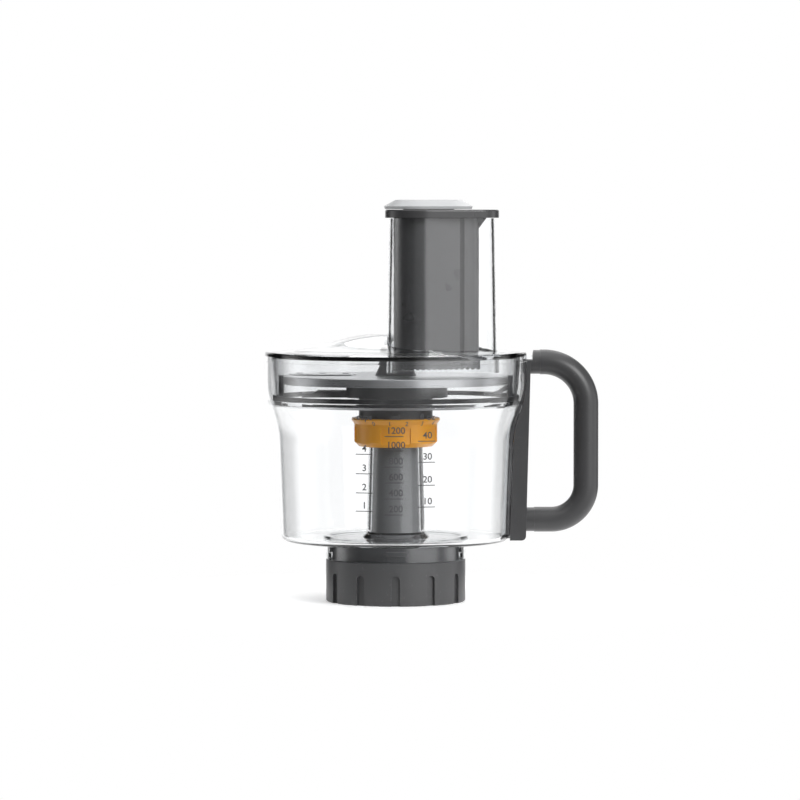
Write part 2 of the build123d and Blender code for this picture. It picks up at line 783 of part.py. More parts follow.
with BuildPart() as handle_bracket:
    with BuildSketch(Plane.XZ):
        with BuildLine():
            Polyline(
                (bowl_foot_radius - 6, strip_bottom),
                (strip_foot_reach, strip_bottom),
                (strip_head_reach, strip_top),
                (bowl_foot_radius - 6, strip_top),
                close=True,
            )
        make_face()
    extrude(amount=strip_width / 2, both=True)
    fillet(handle_bracket.edges().filter_by(Axis.Y).sort_by(Axis.X)[-2:], 3.0)
    for height, end in ((grip_top_height, stub_top_end), (grip_foot_height, stub_foot_end)):
        with BuildSketch(Plane.YZ.offset(strip_foot_reach - 4)):
            with Locations((0, height)):
                Ellipse(grip_width / 2 - stub_step, grip_thickness / 2 - stub_step)
        extrude(amount=end - strip_foot_reach + 4)
        with BuildSketch(Plane.YZ.offset(end)):
            with Locations((0, height)):
                Circle(peg_radius)
        extrude(amount=peg_length)
    # clear of the bowl, of the lid's flange and of the lid's tab over its whole turn
    with BuildSketch(Plane.XZ):
        bowl_envelope(-clearance)
    revolve(axis=Axis.Z, mode=Mode.SUBTRACT)
    with BuildSketch(Plane.XY.offset(bowl_top)):
        Circle(bowl_rim_radius + 0.8)
    extrude(amount=2 * lid_flange_thickness, mode=Mode.SUBTRACT)
    with BuildSketch(Plane.XY.offset(tab_bottom - 0.6)):
        Circle(tab_reach + 0.6)
    extrude(amount=2 * lid_flange_thickness, mode=Mode.SUBTRACT)
    # screw holes, counterbored from outside
    for height, end in bracket_screw_places:
        with BuildSketch(Plane.YZ.offset(strip_face(height) - screw_recess - screw_head_height)):
            with Locations((0, height)), GridLocations(2 * bracket_screw_spread, 1, 2, 1):
                Circle(screw_head_radius)
        extrude(amount=screw_recess + screw_head_height + 3.0, mode=Mode.SUBTRACT)
    add(bracket_screws.part, mode=Mode.SUBTRACT)
    add(grip_screws.part, mode=Mode.SUBTRACT)
save(handle_bracket, "handle_bracket")

with BuildPart() as handle_grip:
    with BuildLine(Plane.XZ) as grip_path:
        top_run = Line(
            (stub_top_end, grip_top_height), (grip_reach - grip_top_bend, grip_top_height)
        )
        top_bend = TangentArc(
            top_run @ 1, (grip_reach, grip_top_height - grip_top_bend), tangent=(1, 0)
        )
        upright = Line(top_bend @ 1, (grip_reach, grip_foot_height + grip_foot_bend))
        foot_bend = TangentArc(
            upright @ 1, (grip_reach - grip_foot_bend, grip_foot_height), tangent=(0, -1)
        )
        Line(foot_bend @ 1, (stub_foot_end, grip_foot_height))
    with BuildSketch(Plane.YZ.offset(stub_top_end)):
        with Locations((0, grip_top_height)):
            Ellipse(grip_width / 2, grip_thickness / 2)
    sweep(path=grip_path.line)
    for height, end in ((grip_top_height, stub_top_end), (grip_foot_height, stub_foot_end)):
        with BuildSketch(Plane.YZ.offset(end)):
            with Locations((0, height)):
                Circle(peg_radius + clearance)
        extrude(amount=peg_length + 0.5, mode=Mode.SUBTRACT)
    for height, end in ((grip_top_height, stub_top_end), (grip_foot_height, stub_foot_end)):
        with BuildSketch(Plane.XZ.offset(-grip_width / 2 - 1)):
            with Locations((end + peg_length / 2, height)):
                Circle(screw_head_radius)
        extrude(amount=screw_recess + screw_head_height + 1, mode=Mode.SUBTRACT)
    add(grip_screws.part, mode=Mode.SUBTRACT)
save(handle_grip, "handle_grip")

with BuildPart() as handle_clip:
    with BuildSketch(Plane.XZ):
        wall_band(clearance, clip_thickness + clearance, clip_bottom, clip_top)
    extrude(amount=channel_width / 2 - 1.5, both=True)
save(handle_clip, "handle_clip")

# ---------------------------------------------------------------- lid with its feed tube
tube_height = tube_top_height - tube_foot
tube_shrink = tube_height * tan(radians(tube_draft))

with BuildPart() as lid:
    with BuildSketch(Plane.XZ):
        with BuildLine():
            crown, shoulder = dome_line(0)
            under_crown, under_shoulder = dome_line(lid_thickness)
            Line(crown @ 0, under_crown @ 0)
            Polyline(
                shoulder @ 1,
                (bowl_rim_radius - 0.8, flange_top + 0.5),
                (bowl_rim_radius, flange_top - 0.3),
                (bowl_rim_radius, flange_bottom),
                (bowl_rim_radius - wall, flange_bottom),
                (bowl_rim_radius - wall, flange_top - lid_thickness),
                (lid_skirt_radius, flange_top - lid_thickness),
                (lid_skirt_radius, flange_bottom),
                (lid_skirt_foot_radius, lid_bottom),
                (lid_skirt_inner_radius, lid_bottom),
                (lid_skirt_radius - wall, flange_top - 1.5 * lid_thickness),
                under_shoulder @ 1,
            )
        make_face()
    revolve(axis=Axis.Z)
    # centre pin that holds the disc down
    with BuildSketch(Plane.XY.offset(centre_pin_bottom)):
        Circle(centre_pin_radius)
    extrude(amount=dome_top - lid_thickness / 2 - centre_pin_bottom)
    with BuildSketch(Plane.XY.offset(knob_top + 2.0)):
        Circle(centre_pin_radius + 3.0)
    extrude(amount=dome_top - lid_thickness / 2 - knob_top - 2.0)
    # feed tube
    for height in (tube_foot, tube_top_height):
        with BuildSketch(Plane.XY.offset(height)):
            egg(
                tube_left, tube_left_radius, tube_right, tube_right_radius,
                -(height - tube_foot) / tube_height * tube_shrink,
            )
    loft()
    for height in (tube_foot, tube_top_height):
        with BuildSketch(Plane.XY.offset(height)):
            egg(
                tube_left, tube_left_radius, tube_right, tube_right_radius,
                -lid_thickness - (height - tube_foot) / tube_height * tube_shrink,
            )
    loft(mode=Mode.SUBTRACT)
    # tab that runs into the notch of the handle bracket
    with BuildSketch(Plane.XY.offset(tab_bottom)):
        annular_sector(bowl_rim_radius - 1, tab_reach, 0, tab_span)
    extrude(amount=tab_height)
save(lid, "lid")

with BuildPart() as lid_seal:
    with BuildSketch(Plane.XY.offset(ledge_top + joint_gap)):
        Circle(seal_outer_radius)
        Circle(seal_inner_radius, mode=Mode.SUBTRACT)
    extrude(amount=seal_height)
save(lid_seal, "lid_seal")

# ---------------------------------------------------------------- pushers
pusher_body_height = pusher_flange_bottom - pusher_foot
pusher_flange_left = tube_left_radius - tube_shrink + pusher_flange_overhang
pusher_flange_right = tube_right_radius - tube_shrink + pusher_flange_overhang

with BuildPart() as large_pusher:
    with BuildSketch(Plane.XY.offset(pusher_foot)):
        egg(tube_left, pusher_left_radius, pusher_right, pusher_right_radius)
    extrude(amount=pusher_body_height)
    with BuildSketch(Plane.XY.offset(pusher_flange_bottom)):
        egg(tube_left, pusher_flange_left, tube_right, pusher_flange_right)
    extrude(amount=pusher_flange_thickness)
    fillet(large_pusher.edges().group_by(Axis.Z)[-1], 1.2)
    # hollow from above, down to the ridged foot
    with BuildSketch(Plane.XY.offset(pusher_foot + 2 * pusher_wall)):
        egg(tube_left, pusher_left_radius, pusher_right, pusher_right_radius, -pusher_wall)
    extrude(amount=pusher_flange_top - pusher_foot, mode=Mode.SUBTRACT)
    # inner tube for the small pusher, carried by the foot and by a web under the flange
    with BuildSketch(Plane.XY.offset(pusher_foot)):
        egg(small_left, small_left_radius, small_right, small_right_radius, small_gap + small_wall)
    extrude(amount=pusher_flange_top - pusher_foot - 1.0)
    with BuildSketch(Plane.XY.offset(pusher_flange_top - pusher_wall - 1.0)):
        egg(tube_left, pusher_left_radius, pusher_right, pusher_right_radius)
    extrude(amount=pusher_wall)
    with BuildSketch(Plane.XY.offset(pusher_foot - 1)):
        egg(small_left, small_left_radius, small_right, small_right_radius, small_gap)
    extrude(amount=pusher_flange_top - pusher_foot + 2, mode=Mode.SUBTRACT)
    # gusset under the flange
    with BuildSketch(Plane.XZ.offset(-pusher_right[1] - gusset_width / 2)):
        with BuildLine():
            Polyline(
                (pusher_right[0] + pusher_right_radius - 3, pusher_flange_bottom - gusset_drop),
                (gusset_waist, pusher_flange_bottom - gusset_waist_drop),
                (gusset_reach, pusher_flange_bottom),
                (pusher_right[0] + pusher_right_radius - 3, pusher_flange_bottom),
                close=True,
            )
        make_face()
    extrude(amount=gusset_width)
    # groove down the front and ridges across the foot
    with BuildSketch(Plane.XY.offset(pusher_foot)):
        with Locations((pusher_groove_place, tube_left[1] - pusher_left_radius)):
            Rectangle(pusher_groove_width, pusher_groove_reach)
    extrude(amount=pusher_body_height, mode=Mode.SUBTRACT)
    with BuildSketch(Plane.XZ.offset(-tube_left[1] - pusher_left_radius - 1)):
        with GridLocations(ridge_pitch, 1, ridge_count, 1):
            with Locations((pusher_middle, pusher_foot)):
                RegularPolygon(ridge_depth * 1.2, 4)
    extrude(amount=2 * pusher_left_radius + 2, mode=Mode.SUBTRACT)
save(large_pusher, "large_pusher")

small_foot = pusher_foot + 0.4
cap_bottom = pusher_flange_top + joint_gap
with BuildPart() as small_pusher:
    with BuildSketch(Plane.XY.offset(small_foot)):
        egg(small_left, small_left_radius, small_right, small_right_radius)
    extrude(amount=cap_bottom - small_foot)
    with BuildSketch(Plane.XY.offset(small_foot + small_wall)):
        egg(small_left, small_left_radius, small_right, small_right_radius, -small_wall)
    extrude(amount=cap_bottom - small_foot, mode=Mode.SUBTRACT)
save(small_pusher, "small_pusher")

with BuildPart() as pusher_cap:
    with BuildSketch(Plane.XY.offset(cap_bottom)):
        egg(cap_left, cap_left_radius, cap_right, cap_right_radius, -0.6)
    with BuildSketch(Plane.XY.offset(cap_bottom + cap_edge_height)):
        egg(cap_left, cap_left_radius, cap_right, cap_right_radius)
    loft()
    with BuildSketch(Plane.XY.offset(cap_bottom + cap_edge_height)):
        egg(cap_left, cap_left_radius, cap_right, cap_right_radius)
    with BuildSketch(Plane.XY.offset(cap_bottom + cap_edge_height + cap_rise)):
        egg(cap_left, cap_left_radius, cap_right, cap_right_radius, -cap_slope_run)
    loft()
    # collar that plugs into the small pusher
    with BuildSketch(Plane.XY.offset(cap_bottom - cap_plug_depth)):
        egg(small_left, small_left_radius, small_right, small_right_radius, -small_wall)
        egg(
            small_left, small_left_radius, small_right, small_right_radius,
            -2 * small_wall, mode=Mode.SUBTRACT,
        )
    extrude(amount=cap_plug_depth)
save(pusher_cap, "pusher_cap")

# ---------------------------------------------------------------- drive column
column_bottom = neck_top + 0.5
column_top = tower_top - tower_top_thickness - column_gap
column_foot_radius = tower_foot_radius - wall - column_gap
column_head_radius = tower_top_radius - wall - column_gap
hub_seat = tower_top + 1.3
column_tip = hub_seat + 9.0
with BuildPart() as drive_column:
    with BuildSketch(Plane.XZ):
        with BuildLine():
            Polyline(
                (0, column_bottom),
                (column_foot_radius, column_bottom),
                (column_head_radius, column_top),
                (output_shaft_radius, column_top),
                (output_shaft_radius, hub_seat),
                (0, hub_seat),
                close=True,
            )
        make_face()
    revolve(axis=Axis.Z)
    with BuildSketch(Plane.XY.offset(hub_seat)):
        RegularPolygon(drive_flats / 2, drive_sides, major_radius=False)
    extrude(amount=column_tip - hub_seat)
    with BuildSketch(Plane.XY.offset(column_bottom)):
        RegularPolygon(drive_flats / 2 + running_gap, drive_sides, major_radius=False)
    extrude(amount=shaft_top - column_bottom + 0.4, mode=Mode.SUBTRACT)
save(drive_column, "drive_column")

# ---------------------------------------------------------------- hub, disc and thickness setting
plate_top = disc_top_height - 0.3
bridge_top = plate_top - plate_thickness
bridge_bottom = bridge_top - bridge_thickness
leg_inner = leg_radius - leg_thickness / 2
leg_outer = leg_radius + leg_thickness / 2

with BuildPart() as disc_hub:
    with BuildSketch(Plane.XY.offset(hub_plate_bottom)):
        Circle(hub_plate_radius)
    extrude(amount=disc_underside - hub_plate_bottom)
    with BuildSketch(Plane.XY.offset(hub_foot_height)):
        Circle(hub_neck_radius)
    extrude(amount=hub_plate_bottom - hub_foot_height)
    # knob above the disc
    with BuildSketch(Plane.XZ):
        with BuildLine():
            Polyline(
                (0, disc_underside),
                (hub_spigot_radius, disc_underside),
                (hub_spigot_radius, disc_top_height),
                (knob_foot_radius, disc_top_height),
                (knob_neck_radius, disc_top_height + knob_cone_height),
                (knob_neck_radius, knob_top),
                (0, knob_top),
                close=True,
            )
        make_face()
    revolve(axis=Axis.Z)
    fillet(disc_hub.edges().group_by(Axis.Z)[-1], 1.0)
    # carrier arm and foot on the side of the window
    with BuildSketch(Plane.XZ):
        with BuildLine():
            Polyline(
                (-hub_plate_radius + 3, hub_plate_bottom),
                (-arm_foot_reach, hub_plate_bottom),
                (-arm_foot_reach, hub_plate_bottom + arm_foot_thickness),
                (-arm_reach, hub_plate_bottom + arm_foot_thickness),
                (-arm_slope_reach, arm_top),
                (-hub_plate_radius + 3, arm_top),
                close=True,
            )
        make_face()
    extrude(amount=arm_width / 2, both=True)
    # hollow for the tower, hexagonal seat for the column's tip and bore of the knob
    with BuildSketch(Plane.XY.offset(hub_foot_height)):
        Circle(hub_bore_radius)
    extrude(amount=hub_seat - hub_foot_height, mode=Mode.SUBTRACT)
    with BuildSketch(Plane.XY.offset(hub_foot_height)):
        RegularPolygon(drive_flats / 2 + running_gap, drive_sides, major_radius=False)
    extrude(amount=column_tip + 0.5 - hub_foot_height, mode=Mode.SUBTRACT)
    with BuildSketch(Plane.XY.offset(knob_top)):
        Circle(insert_radius)
    extrude(amount=-insert_height, mode=Mode.SUBTRACT)
    # room for the thickness plate, its bridge and its leg
    with BuildSketch(Plane.XY.offset(bridge_bottom - plate_travel - 0.4)):
        with Locations((-leg_inner + leg_gap, 0)):
            Rectangle(
                hub_plate_radius, leg_width + 2 * leg_gap, align=(Align.MAX, Align.CENTER)
            )
        with Locations((-window_near + window_gap, 0)):
            Rectangle(hub_plate_radius, window_width, align=(Align.MAX, Align.CENTER))
    extrude(amount=disc_underside - bridge_bottom + plate_travel + 0.4, mode=Mode.SUBTRACT)
    with BuildSketch(Plane.XY.offset(hub_foot_height)):
        with Locations((-leg_radius, 0)):
            Rectangle(leg_thickness + 2 * leg_gap, leg_width + 2 * leg_gap)
    extrude(amount=bridge_bottom - hub_foot_height, mode=Mode.SUBTRACT)
    # pointer over the numbers of the thickness ring
    with BuildSketch(Plane.XY.offset(pointer_bottom)):
        annular_sector(hub_neck_radius - 0.5, pointer_reach, pointer_place, pointer_span)
    extrude(amount=pointer_height)
save(disc_hub, "disc_hub")

with BuildPart() as knob_insert:
    with BuildSketch(Plane.XY.offset(knob_top - insert_height)):
        Circle(insert_radius)
        Circle(centre_pin_radius + running_gap, mode=Mode.SUBTRACT)
    extrude(amount=insert_height)
save(knob_insert, "knob_insert")

with BuildPart() as slicing_disc:
    with BuildSketch(Plane.XY.offset(disc_rim_bottom)):
        Circle(disc_radius)
    extrude(amount=disc_rim_height)
    fillet(slicing_disc.edges().group_by(Axis.Z)[-1], 0.6)
    with BuildSketch(Plane.XY.offset(disc_rim_bottom)):
        Circle(disc_radius - disc_thickness)
    extrude(amount=disc_rim_height - disc_thickness, mode=Mode.SUBTRACT)
    with BuildSketch(Plane.XY.offset(disc_underside)):
        Circle(hub_spigot_radius)
        with Locations((-(window_near + window_far) / 2, 0)):
            Rectangle(window_far - window_near, window_width)
    extrude(amount=disc_thickness, mode=Mode.SUBTRACT)
save(slicing_disc, "slicing_disc")

with BuildPart() as slicing_blade:
    with BuildSketch(Plane.YZ.offset(-window_far - blade_end)):
        with BuildLine():
            Polyline(
                (blade_edge, disc_top_height + blade_edge_lift),
                (blade_edge + blade_bevel, disc_top_height),
                (blade_back, disc_top_height),
                (blade_back, disc_top_height + blade_thickness),
                (blade_edge + blade_bevel, disc_top_height + blade_thickness),
                close=True,
            )
        make_face()
    extrude(amount=window_far - window_near + 2 * blade_end)
    with BuildSketch(Plane.XY.offset(disc_top_height)):
        with Locations(*rivet_places):
            Circle(rivet_radius)
    extrude(amount=blade_thickness, mode=Mode.SUBTRACT)
save(slicing_blade, "slicing_blade")

with BuildPart() as blade_rivets:
    with BuildSketch(Plane.XY.offset(disc_top_height)):
        with Locations(*rivet_places):
            Circle(rivet_radius)
    extrude(amount=blade_thickness)
    with BuildSketch(Plane.XY.offset(disc_top_height + blade_thickness)):
        with Locations(*rivet_places):
            Circle(rivet_radius + 0.7)
    extrude(amount=0.6)
    fillet(blade_rivets.edges().group_by(Axis.Z)[-1], 0.25)
save(blade_rivets, "blade_rivets")

rim_guide_top = disc_top_height
for label, middle in (("rim_guide_left", 180), ("rim_guide_right", 0)):
    with BuildPart() as rim_guide:
        with BuildSketch(Plane.XY.offset(rim_guide_top - rim_lug_height)):
            annular_sector(disc_radius, rim_lug_radius, middle, rim_lug_span)
        extrude(amount=rim_lug_height)
        if middle == 0:
            with BuildSketch(Plane.XZ):
                with BuildLine():
                    ramp_top = Spline(
                        (disc_radius + 1, disc_rim_bottom - 0.6),
                        (ramp_middle, ramp_middle_height),
                        (ramp_reach, ramp_height),
                        tangents=[(-1, -0.2), (-1, 0)],
                    )
                    ramp_under = Spline(
                        (ramp_reach, ramp_height - ramp_thickness),
                        (ramp_middle + 1.0, ramp_middle_height - ramp_thickness),
                        (disc_radius + 1, disc_rim_bottom - 0.6 - 2 * ramp_thickness),
                        tangents=[(1, 0), (1, 0.4)],
                    )
                    Line(ramp_top @ 1, ramp_under @ 0)
                    Line(ramp_under @ 1, ramp_top @ 0)
                make_face()
            extrude(amount=ramp_width / 2, both=True)
    save(rim_guide, label)

with BuildPart() as thickness_plate:
    with BuildSketch(Plane.XY.offset(bridge_top)):
        with Locations((-(window_near + window_far) / 2, 0)):
            Rectangle(
                window_far - window_near - 2 * window_gap, window_width - 2 * window_gap
            )
    extrude(amount=plate_thickness)
    with BuildSketch(Plane.XY.offset(bridge_bottom)):
        with Locations((-leg_inner, 0)):
            Rectangle(bridge_reach - leg_inner, leg_width, align=(Align.MAX, Align.CENTER))
    extrude(amount=bridge_thickness)
    with BuildSketch(Plane.XY.offset(leg_foot)):
        with Locations((-leg_radius, 0)):
            Rectangle(leg_thickness, leg_width)
    extrude(amount=bridge_bottom - leg_foot)
save(thickness_plate, "thickness_plate")

with BuildPart() as thickness_ring:
    with BuildSketch(Plane.XZ):
        with BuildLine():
            Polyline(
                (hub_bore_radius, adjuster_bottom),
                (adjuster_radius - adjuster_round, adjuster_bottom),
                (adjuster_radius, adjuster_bottom + adjuster_round),
                (adjuster_radius, adjuster_top_height - 2 * adjuster_lip),
                (adjuster_lip_radius, adjuster_top_height - adjuster_lip / 2),
                (adjuster_lip_radius - 0.4, adjuster_top_height),
                (hub_neck_radius + running_gap, adjuster_top_height),
                (hub_neck_radius + running_gap, adjuster_bottom + adjuster_floor),
                (hub_bore_radius, adjuster_bottom + adjuster_floor),
                close=True,
            )
        make_face()
    revolve(axis=Axis.Z)
    # finger recesses
    for panel in range(adjuster_panel_count):
        with BuildSketch(Plane.XY.offset(adjuster_bottom - 1)):
            annular_sector(
                adjuster_radius - adjuster_panel_depth,
                adjuster_radius + 2,
                270 + panel * 360 / adjuster_panel_count,
                adjuster_panel_span,
            )
        extrude(amount=adjuster_panel_top - adjuster_bottom + 1, mode=Mode.SUBTRACT)
    # spiral cam under the thickness plate's leg
    for step in range(cam_steps):
        cam_place = 180 - (step + 0.5) * adjuster_turn / cam_steps
        cam_height = leg_foot - cam_gap - plate_travel * (step + 1) / cam_steps
        with BuildSketch(Plane.XY.offset(adjuster_bottom + adjuster_floor - 0.5)):
            annular_sector(
                leg_inner - 0.6, leg_outer + 0.6, cam_place, adjuster_turn / cam_steps
            )
        extrude(amount=cam_height - adjuster_bottom - adjuster_floor + 0.5)
save(thickness_ring, "thickness_ring")


# ---------------------------------------------------------------- printed marks
def digit_strokes(number, size):
    """Centres and sizes of the strokes of a number, drawn with up to seven bars a digit."""
    bars = {
        "a": (0, 1, 1, 0), "b": (0.5, 0.5, 0, 1), "c": (0.5, -0.5, 0, 1), "d": (0, -1, 1, 0),
        "e": (-0.5, -0.5, 0, 1), "f": (-0.5, 0.5, 0, 1), "g": (0, 0, 1, 0),
    }
    shapes = {
        "0": "abcdef", "1": "bc", "2": "abged", "3": "abgcd", "4": "fgbc", "5": "afgcd",
        "6": "afgecd", "7": "abc", "8": "abcdefg", "9": "abcdfg",
    }
    text = str(number)
    strokes = []
    for index, digit in enumerate(text):
        middle = (index - (len(text) - 1) / 2) * size * 0.8
        for bar in shapes[digit]:
            across, up, wide, tall = bars[bar]
            strokes.append(
                (
                    middle + across * size / 2,
                    up * size / 2,
                    wide * size / 2 + mark_line,
                    tall * size / 2 + mark_line,
                )
            )
    return strokes


with BuildPart() as measuring_marks:
    with BuildSketch(Plane.XZ.offset(bowl_foot_radius - mark_sink)):
        for across, width, scale in mark_columns:
            for height, number in scale:
                with Locations((across, height)):
                    Rectangle(width, mark_line)
                for dx, dy, wide, tall in digit_strokes(number, mark_size):
                    with Locations((across + dx, height + mark_rise + dy)):
                        Rectangle(wide, tall)
    extrude(amount=mark_sink + bowl_rim_radius - bowl_foot_radius)
    with BuildSketch(Plane.XZ):
        bowl_envelope(-mark_thickness)
        bowl_envelope(0, mode=Mode.SUBTRACT)
        with Locations((bowl_waist_radius, mark_low)):
            Rectangle(
                bowl_rim_radius, mark_high - mark_low,
                align=(Align.CENTER, Align.MIN), mode=Mode.INTERSECT,
            )
    revolve(axis=Axis.Z, mode=Mode.INTERSECT)
save(measuring_marks, "measuring_marks")

with BuildPart() as ring_marks:
    for number in range(ring_mark_count):
        turn = ring_mark_first + number * ring_mark_step
        with BuildSketch(Plane.XZ.offset(adjuster_radius - 2), mode=Mode.PRIVATE) as mark:
            for dx, dy, wide, tall in digit_strokes(number, ring_mark_size):
                with Locations((dx, ring_mark_height + dy)):
                    Rectangle(wide, tall)
        mark_block = extrude(mark.sketch, amount=6, mode=Mode.PRIVATE)
        add(mark_block.rotate(Axis.Z, turn))
    with BuildSketch(Plane.XZ):
        with BuildLine():
            Polyline(
                (adjuster_radius, adjuster_top_height - 2 * adjuster_lip),
                (adjuster_lip_radius, adjuster_top_height - adjuster_lip / 2),
                (adjuster_lip_radius + mark_thickness, adjuster_top_height - adjuster_lip / 2),
                (adjuster_radius + mark_thickness, adjuster_top_height - 2 * adjuster_lip),
                (adjuster_radius + mark_thickness, adjuster_panel_top),
                (adjuster_radius, adjuster_panel_top),
                close=True,
            )
        make_face()
    revolve(axis=Axis.Z, mode=Mode.INTERSECT)
save(ring_marks, "ring_marks")
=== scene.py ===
"""Finishes and lights the food processor attachment on its CAD frame."""

import math

import bpy
import bmesh
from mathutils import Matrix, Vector
from mathutils.bvhtree import BVHTree


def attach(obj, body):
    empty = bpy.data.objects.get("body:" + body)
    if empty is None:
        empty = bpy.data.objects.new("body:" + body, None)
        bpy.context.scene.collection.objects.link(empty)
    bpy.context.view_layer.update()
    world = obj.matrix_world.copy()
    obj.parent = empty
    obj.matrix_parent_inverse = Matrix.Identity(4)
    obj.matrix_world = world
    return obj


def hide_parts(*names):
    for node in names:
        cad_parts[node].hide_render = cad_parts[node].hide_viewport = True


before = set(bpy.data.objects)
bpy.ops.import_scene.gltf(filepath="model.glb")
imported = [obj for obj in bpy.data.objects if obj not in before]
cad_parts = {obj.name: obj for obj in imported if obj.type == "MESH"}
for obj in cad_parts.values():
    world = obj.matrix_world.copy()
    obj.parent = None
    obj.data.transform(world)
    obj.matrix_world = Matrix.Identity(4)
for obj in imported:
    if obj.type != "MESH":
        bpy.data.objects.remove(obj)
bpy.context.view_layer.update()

bl_info = {
    "name": "Food Processor Finish",
    "version": (1, 0, 0),
    "blender": (4, 5, 0),
    "location": "View3D > Sidebar > Food Processor",
    "description": "Gives each piece of the food processor attachment its finish and its studio",
    "category": "Object",
}

MM = 0.001

DARK_PIECES = ("base_housing", "gearbox_cover", "handle_bracket", "handle_grip", "handle_clip")
ROTOR_PLASTIC = ("disc_hub", "rim_guide_left", "rim_guide_right", "thickness_plate")
PUSHER_PIECES = ("large_pusher", "small_pusher")
DISC_PIECES = ("slicing_disc",)
BLADE_PIECES = ("slicing_blade", "blade_rivets")
TURNED_PIECES = (
    "sun_gear_shaft", "input_coupling", "planet_carrier", "planet_pins", "cover_screws",
    "bracket_screws", "grip_screws",
)
NYLON_PIECES = ("ring_gear", "planet_gear_1", "planet_gear_2", "planet_gear_3")
BRONZE_PIECES = ("input_bush", "output_bush", "knob_insert", "tower_bush")


# ------------------------------------------------------------------ shader maths
class Value:
    """A shader value that can be added, multiplied and compared like a number."""

    def __init__(self, shader, socket):
        self.shader = shader
        self.socket = socket

    def maths(self, operation, *values, clamp=False):
        return self.shader.maths(operation, *values, clamp=clamp)

    def __add__(self, other):
        return self.maths("ADD", self, other)

    def __radd__(self, other):
        return self.maths("ADD", other, self)

    def __sub__(self, other):
        return self.maths("SUBTRACT", self, other)

    def __rsub__(self, other):
        return self.maths("SUBTRACT", other, self)

    def __mul__(self, other):
        return self.maths("MULTIPLY", self, other)

    def __rmul__(self, other):
        return self.maths("MULTIPLY", other, self)

    def __truediv__(self, other):
        return self.maths("DIVIDE", self, other)

    def __rtruediv__(self, other):
        return self.maths("DIVIDE", other, self)

    def __pow__(self, other):
        return self.maths("POWER", self, other)

    def __neg__(self):
        return self.maths("MULTIPLY", self, -1.0)

    def __gt__(self, other):
        return self.maths("GREATER_THAN", self, other)

    def __lt__(self, other):
        return self.maths("LESS_THAN", self, other)

    def towards(self, other, share):
        """This value moved towards another by a share from 0 to 1."""
        return self + (other - self) * share

    def clipped(self):
        return self.maths("ADD", self, 0.0, clamp=True)

    def ramp(self, low, high, to_low=0.0, to_high=1.0):
        """Smooth step of this value between low and high."""
        settings = {"interpolation_type": "SMOOTHSTEP"}
        inputs = {
            "Value": self, "From Min": low, "From Max": high, "To Min": to_low, "To Max": to_high,
        }
        return self.shader.node("ShaderNodeMapRange", settings, inputs)["Result"]


class Node:
    """A shader node whose outputs are read by name as values."""

    def __init__(self, shader, made):
        self.shader = shader
        self.made = made

    def __getitem__(self, name):
        return Value(self.shader, self.made.outputs[name])


class Shader:
    """The node tree of a material or a world, written as expressions."""

    def __init__(self, name, kind="materials"):
        self.owner = getattr(bpy.data, kind).new(name)
        self.owner.use_nodes = True
        self.tree = self.owner.node_tree
        self.tree.nodes.clear()

    def node(self, kind, settings=None, inputs=None):
        made = self.tree.nodes.new(kind)
        for key, value in (settings or {}).items():
            setattr(made, key, value)
        for key, value in (inputs or {}).items():
            socket = made.inputs[key]
            if isinstance(value, Value):
                self.tree.links.new(value.socket, socket)
            else:
                socket.default_value = value
        return Node(self, made)

    def maths(self, operation, *values, clamp=False):
        settings = {"operation": operation, "use_clamp": clamp}
        return self.node("ShaderNodeMath", settings, dict(enumerate(values)))["Value"]

    def mix(self, factor, first, second):
        """Mix of two colours."""
        made = self.node("ShaderNodeMix", {"data_type": "RGBA"}).made
        for socket, value in zip((made.inputs[0], made.inputs[6], made.inputs[7]),
                                 (factor, first, second)):
            if isinstance(value, Value):
                self.tree.links.new(value.socket, socket)
            else:
                socket.default_value = value
        return Value(self, made.outputs[2])

    def place(self):
        return self.node("ShaderNodeTexCoord")["Object"]

    def stretched(self, scale):
        """Object coordinates scaled by a different amount along each axis."""
        inputs = {"Vector": self.place(), "Scale": scale}
        return self.node("ShaderNodeMapping", None, inputs)["Vector"]

    def parts(self, vector):
        made = self.node("ShaderNodeSeparateXYZ", None, {"Vector": vector})
        return made["X"], made["Y"], made["Z"]

    def noise(self, scale, detail=4.0, roughness=0.55, vector=None):
        inputs = {
            "Vector": vector or self.place(), "Scale": scale, "Detail": detail,
            "Roughness": roughness,
        }
        return self.node("ShaderNodeTexNoise", None, inputs)["Fac"]

    def cells(self, scale, vector=None):
        inputs = {"Vector": vector or self.place(), "Scale": scale}
        return self.node("ShaderNodeTexVoronoi", None, inputs)["Distance"]

    def scratches(self, scale, angle, amount):
        """Thin straight scratches: stretched noise, cut to its peaks."""
        inputs = {
            "Vector": self.place(), "Rotation": (0.3, angle, angle * 0.7),
            "Scale": (scale, scale * 0.03, scale),
        }
        vector = self.node("ShaderNodeMapping", None, inputs)["Vector"]
        return self.noise(1.0, 2.0, 0.5, vector).ramp(amount, amount + 0.06)

    def bump(self, height, distance, strength=1.0, normal=None):
        inputs = {"Height": height, "Distance": distance, "Strength": strength}
        if normal:
            inputs["Normal"] = normal
        return self.node("ShaderNodeBump", None, inputs)["Normal"]

    def wear(self, radius=0.0009):
        """One where an edge is sharp, from the difference that rounding its normal makes."""
        rounded = self.node("ShaderNodeBevel", {"samples": 6}, {"Radius": radius})["Normal"]
        plain = self.node("ShaderNodeNewGeometry")["Normal"]
        inputs = {0: rounded, 1: plain}
        dot = self.node("ShaderNodeVectorMath", {"operation": "DOT_PRODUCT"}, inputs)["Value"]
        return (1.0 - dot).ramp(0.004, 0.12)

    def principled(self, **inputs):
        named = {key.replace("_", " "): value for key, value in inputs.items()}
        return self.node("ShaderNodeBsdfPrincipled", None, named)["BSDF"]

    def finish(self, surface, volume=None):
        output = self.node("ShaderNodeOutputMaterial", None, {"Surface": surface})
        if volume:
            self.tree.links.new(volume.socket, output.made.inputs["Volume"])
        return self.owner


